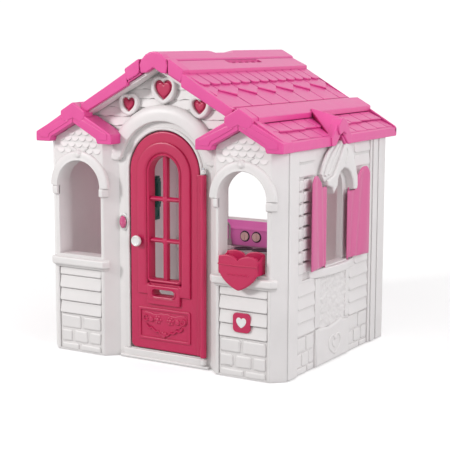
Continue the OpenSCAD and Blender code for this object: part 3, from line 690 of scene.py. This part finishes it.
def shutter(foot):
    """One leaf along +Y from its pin, with curtain-like folds; foot = height of its upper edge at the pin."""
    s = Shape()
    bm = bmesh.new()
    nu, nv = 34, 40

    def top(t):
        y = t * SHUTTER_L
        if y < 62:
            return foot
        if y < 84:
            return foot + (880 - foot) * math.sin((y - 62) / 22 * math.pi / 2)
        return 880 + 38 * math.sin(min(1, (y - 84) / 50) * math.pi / 2) - max(0, (y - 152) / 34) ** 2 * 34

    def fold(t, q):
        lean = 0.25 * (1 - q) * math.sin(math.pi * t)
        return 5.2 * math.sin((t + lean) * 15.5) * min(1, 6 * t) * min(1, 6 * (1 - t)) * (0.7 + 0.3 * (1 - q))

    sheets = []
    for side in (1, -1):
        grid = []
        for i in range(nu + 1):
            t = i / nu
            row = []
            for k in range(nv + 1):
                q = k / nv
                e = min(1.0, math.sqrt(min(t, 1 - t) * SHUTTER_L / 7), math.sqrt(min(q, 1 - q) * 320 / 7))
                w = side * (1.5 + (SHUTTER_T / 2 - 3.2) * e) + fold(t, q) * e
                row.append(bm.verts.new((-8 + t * (SHUTTER_L + 8), 483 + q * (top(t) - 483), w)))
            grid.append(row)
        for i in range(nu):
            for k in range(nv):
                f = (grid[i][k], grid[i + 1][k], grid[i + 1][k + 1], grid[i][k + 1])
                bm.faces.new(f if side > 0 else f[::-1])
        sheets.append(grid)
    a, b = sheets
    edge = [*((i, 0) for i in range(nu)), *((nu, k) for k in range(nv)),
            *((i, nv) for i in range(nu, 0, -1)), *((0, k) for k in range(nv, 0, -1))]
    for p, q in zip(edge, edge[1:] + edge[:1]):
        bm.faces.new((a[q[0]][q[1]], a[p[0]][p[1]], b[p[0]][p[1]], b[q[0]][q[1]]))
    s.take(as_mesh(bm), RIGHT)
    rod(s, SAME, [(0, 0, 465), (0, 0, 826)], 4, 16)
    return s


leaves = {-1: shutter(856), 1: shutter(810)}
for name, body, sx, end in (("right_front", "shutter_rf", 1, -1), ("right_back", "shutter_rb", 1, 1),
                            ("left_front", "shutter_lf", -1, -1), ("left_back", "shutter_lb", -1, 1)):
    m = Matrix.Diagonal((sx, 1, 1, 1)) @ Matrix.Translation((PIN_X, SIDE_Y + end * PIN_Y, 0)) @ \
        Matrix.Rotation(math.radians(-end * SHUTTER_OPEN), 4, "Z") @ Matrix.Diagonal((1, end, 1, 1))
    s = Shape()
    s.copy(leaves[end], m)
    s.done("shutter_" + name + "_shell", ROSE, body, ["shutter_" + name])

# ---------- planter ----------


def crest(w, z_top, z_dip):
    """Upper edge with two lobes, from right to left around the middle of the window."""
    half = []
    for i in range(17):
        t = i / 16
        half.append((w * (1 - t), z_dip + (z_top - z_dip) * math.sin(math.pi * (0.15 + 0.85 * t)) ** 0.6))
    return [(WIN_X + x, z) for x, z in half] + [(WIN_X - x, z) for x, z in reversed(half[:-1])]


s = Shape()
point = []
for i in range(21):
    t = i / 20
    a, b, c, d = (1 - t) ** 3, 3 * t * (1 - t) ** 2, 3 * t * t * (1 - t), t ** 3
    point.append((a * 2 + b * 34 + c * 100 + d * 101, a * 416 + b * 424 + c * 466 + d * 512))
lower = [(WIN_X + x, z) for x, z in point]
left = [(WIN_X - x, z) for x, z in reversed(point)]
plate(s, FRONT, lower + [(WIN_X + 101, 536), (WIN_X - 101, 536)] + left, 592, 611, 8, steps=4)
plate(s, FRONT, [(WIN_X - 101, 526), (WIN_X + 101, 526), *crest(100, 576, 553)], 600, 612, 5, steps=4)
plate(s, FRONT, [(WIN_X - 99, 489), (WIN_X + 99, 489), *crest(98, 588, 567)], 531, 541, 4, steps=3)
plate(s, FRONT, box(WIN_X - 96, 489, WIN_X + 96, 498), 534, 606, 3, steps=2)
for a in (-1, 1):
    pts = [(533, 489), (610, 489), (611, 549), (604, 554), (570, 560), (546, 571), (533, 574)]
    w0, w1 = (90, 101) if a > 0 else (-101, -90)
    plate(s, place((WIN_X, 0, 0), (0, -1, 0), (0, 0, 1)), pts, *sorted((-w0, -w1)), 4, steps=3)
sweep(s, FRONT, [(WIN_X - 101, 533), (WIN_X - 50, 531), (WIN_X, 530), (WIN_X + 50, 531), (WIN_X + 101, 533)],
      [(4, 606), (3.5, 613), (0, 615.5), (-3.5, 613), (-4, 606)])
wave = [(WIN_X + 58 * t, 484 + 7 * abs(math.sin(t * 7.2)), 611) for t in [i / 20 - 1 for i in range(41)]]
rod(s, FRONT, wave, 2.2, 8)
s.done("planter_shell", RED, "planter", ["planter_box"])

# ---------- doorbell ----------


def oval(k, n=40):
    turns = [2 * math.pi * i / n for i in range(n)]
    return [(BELL_X + 26 * k * math.cos(t), BELL_Z + 40 * k * math.sin(t)) for t in turns]


s = Shape()
plate(s, FRONT, oval(1.03), 511, 520, 4, [oval(0.3)], steps=4)
sweep(s, FRONT, oval(0.90), [(2.5, 517), (2, 522), (0, 523.5), (-2, 522), (-2.5, 517)], True)
s.done("doorbell_base_shell", MILK, nodes=["doorbell_base"])
s = Shape()
bm = bmesh.new()
rings = []
for turn, (k, w) in enumerate(((0.73, 525.3), (0.76, 527.5), (0.54, 534), (0.24, 537))):
    ring = [(i + 0.5 * (turn % 2)) * math.pi / 7 for i in range(14)]
    rings.append([bm.verts.new((BELL_X + 26 * k * math.cos(t), BELL_Z + 40 * k * math.sin(t), w))
                  for t in ring])
for turn, (a, b) in enumerate(zip(rings, rings[1:])):
    for i in range(14):
        j = (i + 1) % 14
        if turn % 2:
            bm.faces.new((a[i], b[j], b[i]))
            bm.faces.new((a[i], a[j], b[j]))
        else:
            bm.faces.new((a[i], a[j], b[i]))
            bm.faces.new((a[j], b[j], b[i]))
bm.faces.new(rings[0][::-1])
bm.faces.new(rings[-1])
s.take(as_mesh(bm), FRONT)
lathe(s, place((BELL_X, 0, BELL_Z)), [(0, 458), (6, 458), (6, 522), (0, 522)], 24)
s.done("doorbell_button_shell", GEM, "bell_button", ["doorbell_button"], 12)

# ---------- kitchen console ----------

s = Shape()
solid(s, prism(RIGHT, [(468, 412), (517.5, 412), (517.5, 545), (508, 545), (474, 512), (468, 504)], -400, 70),
      (), 4, 3, 25)
solid(s, prism(RIGHT, [(464, 499), (480, 499), (480, 516), (474, 514), (464, 506)], -398, 68), (), 3, 2, 25)
s.done("kitchen_console_shell", ORCHID, nodes=["kitchen_console"])
# dark flat rings round the two dials: painted shade at the dials' edges
s = Shape()
for x in (-135, -63):
    lathe(s, place((x, 468, 466)), [(22, -1), (30, -1), (30, 1), (28, 2.4), (24, 2.4), (22, 1)], 40)
s.done("stove_dial_shade_rings", DARK)

# ---------- hearts and badge ----------

for node, (x, z, w, h) in zip(("gable_heart_center", "gable_heart_right", "gable_heart_left"), hearts):
    s = Shape()
    plate(s, FRONT, heart(x, z, w + 4, h + 4), 482, 509, 5, steps=3)
    plate(s, FRONT, heart(x, z, w - 18, h - 17), 495, 516, 9, steps=5)
    s.done(node + "_shell", RED, nodes=[node])
s = Shape()
plate(s, FRONT, rounded(WIN_X - 45, BADGE_Z - 45, WIN_X + 45, BADGE_Z + 45, 20, 6), 565, 575, 2, steps=3)
s.done("bay_badge_shell", RED, nodes=["bay_badge"])
s = Shape()
plate(s, FRONT, heart(WIN_X, BADGE_Z, 52, 48), 573, 577, 1.2, steps=2)
s.done("bay_badge_print", MILK)

# ---------- roof ----------

K = 0.587       # slope of the roof
TILT = math.atan(K)
COS, SIN = math.cos(TILT), math.sin(TILT)
# u runs along the house, v up the slope, w out of the slope; v is -distance from the ridge
SLOPE = place((0, 0, 1462), (0, 1, 0), (-COS, 0, SIN))
LOW_T = math.atan((1163 - 1080) / (683 - 534))      # the part at the eave is less steep
LOWER = place((683, 0, 1078), (0, 1, 0), (-math.cos(LOW_T), 0, math.sin(LOW_T)))


def skin(x):
    return 1466 - K * x


def roof_side():
    s = Shape()
    # body below the shingles: profile in x and z, along y
    prof = [(1, 1454), (60, 1423), (162, 1362), (162, skin(162) - 15), (405, skin(405) - 15), (440, 1212),
            (533, 1152), (676, 1070), (676, 1042), (661, 1042), (661, 1050), (600, 1050), (600, 1088),
            (1, 1409)]
    cut = prism(TOP, box(-5, -620, 76, -545), 1300, 1500)
    notch = prism(RIGHT, [(SIDE_Y - 56, 1039), (SIDE_Y + 56, 1039), (SIDE_Y, 1090)], 640, 720)
    solid(s, prism(LONG, prof, -590, 600), [cut, notch], 2, 2)
    # band beside the ridge cap, with a long slot
    band = [(74, 1420), (74, 1428), (78, 1429.5), (158, 1393.5), (162, 1390), (162, 1376), (158, 1370),
            (74, 1410)]
    slot = prism(TOP, rounded(77, -107, 111, 215, 12), 1380, 1480)
    solid(s, prism(LONG, band, -545, 604), [slot], 3, 3)
    for i in range(5):
        lathe(s, SLOPE @ Matrix.Translation((-72 + 62 * i, -110, 0)),
              [(15, -8), (14, 4), (11, 8), (6, 10), (0, 10.5)], 20)
    # tongues, then two rows of wide shingles with pointed ends
    d = 1 / COS
    pitch = 90
    for i in range(14):
        y = -575 + pitch * i
        y1 = min(y + pitch, 602)
        if y1 - y < 20:
            continue
        r = min(26, (y1 - y) / 2 - 3)
        tongue = [(y + 3, -150 * d), *arc(y + 3 + r, -245 * d + r, r, 180, 270, 5),
                  *arc(y1 - 3 - r, -245 * d + r, r, 270, 360, 5), (y1 - 3, -150 * d)]
        plate(s, SLOPE, tongue, -8, 5, 3.5, steps=2, lean=(-150 * d, 0.07))
    wide = 2 * pitch
    for i in range(8):
        y = -665 + wide * i
        a, b, m = max(y + 3, -572), min(y + wide - 3, 602), y + wide / 2
        if b - a < 30:
            continue
        low = -324 * d
        line = [(a, low + abs(a - m) / (wide / 2) * 56)]
        if a < m < b:
            line.append((m, low))
        line += [(b, low + abs(b - m) / (wide / 2) * 56), (b, -235 * d), (a, -235 * d)]
        plate(s, SLOPE, line, -9, 2, 3.5, steps=2, lean=(-235 * d, 0.09))
    for i in range(8):
        y = -575 + wide * (i - 0.5) + 90
        a, b = max(y + 3.5, -572), min(y + wide - 3.5, 602)
        if b - a < 30:
            continue
        plate(s, SLOPE, [(a, -403 * d), (b, -403 * d), (b, -268 * d), (a, -268 * d)], -16, 0, 3.5, steps=2,
              lean=(-300 * d, 0.06))
    # band over the eave's rows
    mid = [(400, 1228), (455, 1231), (462, 1231), (531, 1193), (535, 1188), (534, 1164), (520, 1160),
           (400, 1210)]
    solid(s, prism(LONG, mid, -560, 606), (), 3, 3)
    # two rows of straight shingles
    run = (683 - 534) / math.cos(LOW_T)
    for row, (v0, v1, shift) in enumerate(((run * 0.50, run, 60), (17, run * 0.54, 0))):
        for i in range(-1, 11):
            a, b = max(-556, -560 + 120 * i + shift + 3.5), min(586, -560 + 120 * (i + 1) + shift - 3.5)
            if b - a < 14:
                continue
            low = v0 + (rnd.uniform(0, 9) if row == 0 else rnd.uniform(0, 3))
            plate(s, LOWER, [(a, low + 3), (b, low - 2), (b, v1), (a, v1)], -14, 1 - 3 * row, 3.5, steps=2,
                  lean=(v1, 0.09))
    # eave board and its raised edge, edge strips at the front and the back
    eave = [(650, 1044), (653, 1040), (680, 1040), (683, 1043), (683, 1079), (680, 1083), (668, 1088),
            (664, 1086), (650, 1080)]
    notch = prism(RIGHT, [(SIDE_Y - 57, 1030), (SIDE_Y + 57, 1030), (SIDE_Y, 1092)], 600, 720)
    solid(s, prism(LONG, eave, -580, 606), [notch], 2.5, 3)
    for y0, y1 in ((-594, -561), (588, 605)):
        strip = [(500, 1170), (500, 1190), (534, 1176), (676, 1092), (683, 1083), (683, 1060), (600, 1100)]
        solid(s, prism(LONG, strip, y0, y1), (), 3, 3)
    for y0, y1 in ((-596, -574), (600, 606)):
        strip = [(150, 1366), (150, 1380), (405, 1233), (420, 1226), (420, 1180), (150, 1330)]
        solid(s, prism(LONG, strip, y0, y1), (), 3, 3)
    # rake board and the block beside the ridge block
    rake = [(150, 1381), (420, 1222), (420, 1172), (150, 1316)]
    solid(s, prism(FRONT, rake[::-1], 560, 598), (), 4, 3)
    block = [(79, 1440), (88, 1438), (160, 1395), (163, 1388), (150, 1341), (143, 1341), (92, 1367),
             (79, 1380)]
    solid(s, prism(FRONT, block[::-1], 540, 599), (), 5, 3)
    # small gable over the bay
    x = 458
    leg = [(x + 72, 1167), (684.5, 1085), (684.5, 1039), (600, 1039), (592, 1062), (470, 1128), (458, 1134),
           (458, 1170)]
    for t in (leg, [(2 * x - px, pz) for px, pz in leg]):
        if t is not leg:
            t = [(max(px, 233), pz) for px, pz in t]
        solid(s, prism(FRONT, t, 511.5, 612), (), 5, 3)
    groove = [(x + 60, 1150), (660, 1086), (660, 1058), (610, 1058), (600, 1078), (480, 1142)]
    for t in (groove, [(2 * x - px, pz) for px, pz in groove]):
        solid(s, prism(FRONT, t, 600, 615), (), 3, 2)
    head = [(x, 1232), (x + 72, 1190), (x + 72, 1160), (x + 47, 1134), (x, 1156), (x - 47, 1134),
            (x - 72, 1160), (x - 72, 1190)]
    solid(s, prism(FRONT, head[::-1], 545, 615), (), 6, 3)
    # gablet over the middle of the eave
    bm = bmesh.new()
    pts = [(512, SIDE_Y, 1212), (692, SIDE_Y, 1168), (690, SIDE_Y - 40, 1140), (684, SIDE_Y - 104, 1078),
           (560, SIDE_Y, 1110), (690, SIDE_Y + 40, 1140), (684, SIDE_Y + 104, 1078), (684, SIDE_Y, 1100)]
    vs = [bm.verts.new(p) for p in pts]
    for f in ((0, 1, 2), (0, 2, 3), (0, 3, 4), (0, 5, 1), (0, 6, 5), (0, 4, 6), (1, 7, 2), (2, 7, 3),
              (1, 5, 7), (5, 6, 7), (3, 7, 4), (4, 7, 6)):
        bm.faces.new([vs[i] for i in f])
    solid(s, as_mesh(bm), (), 6, 3, 20)
    for a in (-1, 1):
        leg = [(SIDE_Y, 1166), (SIDE_Y + a * 52, 1138), (SIDE_Y + a * 106, 1080), (SIDE_Y + a * 102, 1040),
               (SIDE_Y + a * 68, 1040), (SIDE_Y + a * 8, 1098)]
        solid(s, prism(RIGHT, leg if a < 0 else leg[::-1], 655, 691), (), 6, 4)
    block = [(SIDE_Y, 1169), (SIDE_Y + 24, 1163), (SIDE_Y + 50, 1138), (SIDE_Y + 53, 1112),
             (SIDE_Y + 34, 1086), (SIDE_Y, 1104), (SIDE_Y - 34, 1086), (SIDE_Y - 53, 1112),
             (SIDE_Y - 50, 1138), (SIDE_Y - 24, 1163)]
    solid(s, prism(RIGHT, block[::-1], 640, 699), (), 6, 4)
    return s


half = roof_side()
for node, m in (("roof_right", SAME), ("roof_left", MIRROR)):
    s = Shape()
    s.copy(half, m)
    s.done(node + "_shell", PINK, nodes=[node])

s = Shape()
cap = both([(0, 1474), (10, 1471), (68, 1440), (72, 1434), (72, 1420), (0, 1457)])
dip = prism(RIGHT, [(-150, 1490), (-128, 1474.5), (-92, 1463), (62, 1463), (112, 1474.5), (134, 1490)], -90,
            90)
solid(s, prism(LONG, cap, -590, 615), [dip], 2, 2, 20)
block = both([(0, 1474), (22, 1471), (44, 1460), (68, 1436), (77, 1412), (70, 1374), (38, 1378), (0, 1401)])
solid(s, prism(FRONT, block[::-1], 545, 600), (), 6, 4)
s.done("ridge_cap_shell", PINK, nodes=["ridge_cap"])

# ---------- door ----------

s = Shape()
mail = rounded(-68, 315, 68, 361, 20)
slab = [(DOOR_W, DOOR_A), *arc(0, DOOR_A, DOOR_W, 0, 180, 48)[1:], (-DOOR_W, DOOR_A),
        *arc(-169, 83, 26, 180, 270, 6), (DOOR_W, 57)]
plate(s, FRONT, slab, 465, 515, 7, [arch(0, 100, 383, 906, 32), mail], steps=4)
ring = [(-84, 352), (-124, 352), (-124, 906), *arc(0, 906, 124, 180, 0, 36)[1:-1], (124, 906), (124, 352),
        (84, 352)]
sweep(s, FRONT, ring[::-1], [(-26, 513), (-26, 519), (-23, 524), (-17, 526), (14, 526), (21, 524), (26, 519),
                             (29, 513)])
inner = [*arc(-75, 408, 22, 270, 180, 5), (-97, 906), *arc(0, 906, 97, 180, 0, 36)[1:-1], (97, 906),
         *arc(75, 408, 22, 360, 270, 5)]
sweep(s, FRONT, inner[::-1], [(-5, 470), (-5, 506), (-3, 514), (2, 520), (7, 523), (12, 520), (14, 512),
                              (14, 470)], True)
bar = [(-12, 484), (12, 484), (14, 494), (12.5, 504), (8, 511), (0, 514), (-8, 511), (-12.5, 504), (-14, 494)]
sweep(s, FRONT, [(0, 384), (0, 1004)], bar)
for z in (587, 785):
    sweep(s, FRONT, [(-98, z), (98, z)], [(a * 0.8, b - 1) for a, b in bar])
    lathe(s, place((0, -490, z)), [(0, 2), (19, 2), (19, 16), (16, 21), (9, 23.4), (0, 23.8)], 24)
plate(s, FRONT, rounded(-93, 280, 93, 374, 10), 505, 528, 6, [mail], steps=4)
sweep(s, FRONT, rounded(-63, 320, 63, 356, 16), [(-10, 520), (-8, 528), (-4, 531.5), (0, 530), (2, 524),
                                                 (2, 468), (-10, 468)], True)
sweep(s, FRONT, [(-90, 305), (90, 305)], [(3, 524), (2, 530), (-2, 530), (-3, 524)])
plate(s, FRONT, rounded(-148, 104, 148, 262, 10), 505, 521, 4, [rounded(-134, 118, 134, 248, 7)], steps=3)
# garland: a low ground with a lobed edge, a scroll at each end, two roses and a hanging swag
ground = both([(0, 236), (16, 240), (34, 234), (58, 231), (84, 238), (110, 240), (127, 228), (130, 208),
               (118, 192), (98, 186), (86, 174), (68, 170), (56, 156), (38, 152), (26, 138), (0, 126)])
plate(s, FRONT, ground[::-1], 511, 518, 3, steps=2)
for a in (-1, 1):
    curl = []
    for k in range(21):
        r, t = 17 - 8 * k / 20, k * 0.26 + 3.6
        curl.append((a * (106 + r * math.cos(t)), 212 + r * math.sin(t), 519))
    rod(s, FRONT, curl, 5, 10)
    for k in range(6):
        q = (a * 36 + 15 * math.cos(k * math.pi / 3), 206 + 15 * math.sin(k * math.pi / 3), 514)
        lathe(s, FRONT @ Matrix.Translation(q), [(9, 0), (8.5, 5), (5, 8), (0, 9)], 16)
    lathe(s, FRONT @ Matrix.Translation((a * 36, 206, 514)), [(11, 0), (10, 8), (6, 11), (0, 12)], 16)
    steps = [i / 30 for i in range(31)]
    vine = [(a * 104 * (1 - t), 178 - 40 * t - 9 * abs(math.sin(t * 9.4)), 518) for t in steps]
    rod(s, FRONT, vine, 5.5, 10)
    leaf_shape = [(62, 196), (70, 191), (82, 192), (90, 200), (88, 212), (78, 220), (66, 216), (60, 206)]
    plate(s, FRONT, [(a * x, z) for x, z in leaf_shape][::a], 512, 524, 5, steps=2)
plate(s, FRONT, heart(0, 136, 32, 30, 32), 512, 524, 5, steps=3)
# hinge edge: stepped strip and barrel around the rod
plate(s, FRONT, rounded(184, 58, 224, 914, 3), 500, 520, 4, steps=2)
lathe(s, Matrix.Translation((HINGE_X, HINGE_Y, 57)),
      [(6.1, 0), (12, 0), (14.6, 3), (14.6, 855), (12, 859), (6.1, 859)], 40)
s.done("door_shell", RED, "door_leaf", ["door"])

for node, m, back in (("door_knob_outer", place((KNOB_X, -515, KNOB_Z)), False),
                      ("door_knob_inner", place((KNOB_X, -465, KNOB_Z), (-1, 0, 0), (0, 0, 1)), True)):
    s = Shape()
    prof = [(21, -1), (21, 3), (17, 6), (12.5, 9), (12, 16), (16, 19), (22, 22), (25.5, 26), (26.5, 32),
            (25.5, 37), (23, 40.5), (20.5, 41.5), (18.5, 40.5), (17, 38.5), (14, 38)]
    prof += [(7, 38), (6.6, 28), (0, 28)] if back else [(0, 38.4)]
    lathe(s, m, [(0, -1)] + prof)
    s.done(node + "_shell", MILK, "door_leaf", [node], 50)

# ---------- camera, light, floor ----------

def look():
    a, e = math.radians(31.25), math.radians(8.67)
    back = Vector((math.sin(a) * math.cos(e), -math.cos(a) * math.cos(e), math.sin(e)))
    right = Vector((math.cos(a), math.sin(a), 0))
    up = back.cross(right)
    m = Matrix((right, up, back)).transposed().to_4x4() @ Matrix.Rotation(math.radians(0.13), 4, "Z")
    m.translation = Vector((3.2142, -5.2616, 1.5392))
    cam = bpy.data.cameras.new("camera")
    cam.sensor_width = 36
    cam.lens = 98.62
    o = put("camera", cam)
    o.matrix_world = m
    bpy.context.scene.camera = o


def area(name, at, to, size, watts, colour=(1, 1, 1)):
    light = bpy.data.lights.new(name, "AREA")
    light.shape = "RECTANGLE"
    light.size, light.size_y = size
    light.energy = watts
    light.color = colour
    o = put(name, light)
    o.location = at
    o.rotation_euler = (Vector(to) - Vector(at)).to_track_quat("-Z", "Y").to_euler()
    o.visible_camera = False


def studio():
    world = bpy.data.worlds.new("studio")
    bpy.context.scene.world = world
    world.use_nodes = True
    world.node_tree.nodes["Background"].inputs[0].default_value = (1, 1, 1, 1)
    world.node_tree.nodes["Background"].inputs[1].default_value = 0.425
    area("key", (-3.7, -5.3, 3.5), (0, 0, 0.8), (1.1, 1.1), 228)
    area("side", (5.3, -1.9, 2.5), (0, 0, 0.6), (3.4, 3.4), 142, (0.98, 0.97, 1.0))
    area("top", (1.6, 0.6, 5.5), (0, 0, 0.8), (3.0, 3.0), 45)
    area("inside", (0, 0.1, 1.02), (0, 0.1, 0), (0.5, 0.5), 0.9, (1.0, 0.72, 0.78))
    area("kitchen", (-0.1, 0.12, 0.74), (-0.1, 0.47, 0.46), (0.2, 0.2), 0.32, (1.0, 0.86, 0.88))
    bm = bmesh.new()
    bmesh.ops.create_grid(bm, x_segments=1, y_segments=1, size=40)
    mesh = as_mesh(bm, closed=False)
    o = put("floor", mesh)
    o.location.z = -0.0005
    mat = bpy.data.materials.new("floor")
    mat.use_nodes = True
    b = mat.node_tree.nodes["Principled BSDF"]
    b.inputs["Base Color"].default_value = (0.9, 0.89, 0.89, 1)
    b.inputs["Roughness"].default_value = 0.9
    b.inputs["Specular IOR Level"].default_value = 0.1
    b.inputs["Emission Color"].default_value = (1, 1, 1, 1)
    # the floor glows a little more far away, so that it meets the white backdrop without an edge
    nodes, links = mat.node_tree.nodes, mat.node_tree.links
    where, length = nodes.new("ShaderNodeTexCoord"), nodes.new("ShaderNodeVectorMath")
    ramp = nodes.new("ShaderNodeMapRange")
    length.operation = "LENGTH"
    for name, value in (("From Min", 1.5), ("From Max", 7.0), ("To Min", 0.32), ("To Max", 0.66)):
        ramp.inputs[name].default_value = value
    links.new(where.outputs["Object"], length.inputs[0])
    links.new(length.outputs["Value"], ramp.inputs["Value"])
    links.new(ramp.outputs["Result"], b.inputs["Emission Strength"])
    mesh.materials.append(mat)
    o.visible_diffuse = False
    # white surroundings that are seen and mirrored, but give no light
    bm = bmesh.new()
    bmesh.ops.create_uvsphere(bm, u_segments=32, v_segments=16, radius=35)
    mesh = as_mesh(bm, closed=False)
    o = put("backdrop", mesh)
    o.visible_diffuse = o.visible_shadow = False
    mat = bpy.data.materials.new("backdrop")
    mat.use_nodes = True
    b = mat.node_tree.nodes["Principled BSDF"]
    b.inputs["Base Color"].default_value = (0, 0, 0, 1)
    b.inputs["Emission Color"].default_value = (1, 1, 1, 1)
    b.inputs["Emission Strength"].default_value = 1.0
    mesh.materials.append(mat)
    bpy.context.scene.view_settings.view_transform = "Standard"


look()
studio()

# ---------- materials of the CAD nodes that are shown as they are ----------

BY_SLOT = {"wall_plastic": WHITE, "roof_plastic": PINK, "door_plastic": RED, "planter_plastic": RED,
           "shutter_plastic": ROSE, "white_plastic": MILK, "grey_plastic": GREY, "purple_plastic": ORCHID,
           "dark_plastic": DARK, "teal_plastic": TEAL, "steel": STEEL, "circuit_board": BOARD}
for sub in frame["record"]["subparts"]:
    o = NODES[sub["node"]]
    o.data.materials.clear()
    mat = PALE if sub["node"].startswith("stove_dial") else BY_SLOT[sub["material_slot"]]
    o.data.materials.append(mat)
    if sub["material_slot"] not in ("steel", "circuit_board"):
        mod = o.modifiers.new("soft_edges", "BEVEL")
        mod.width = 0.0025
        mod.segments = 2
        mod.limit_method = "ANGLE"
        mod.angle_limit = math.radians(50)
        mod.harden_normals = True
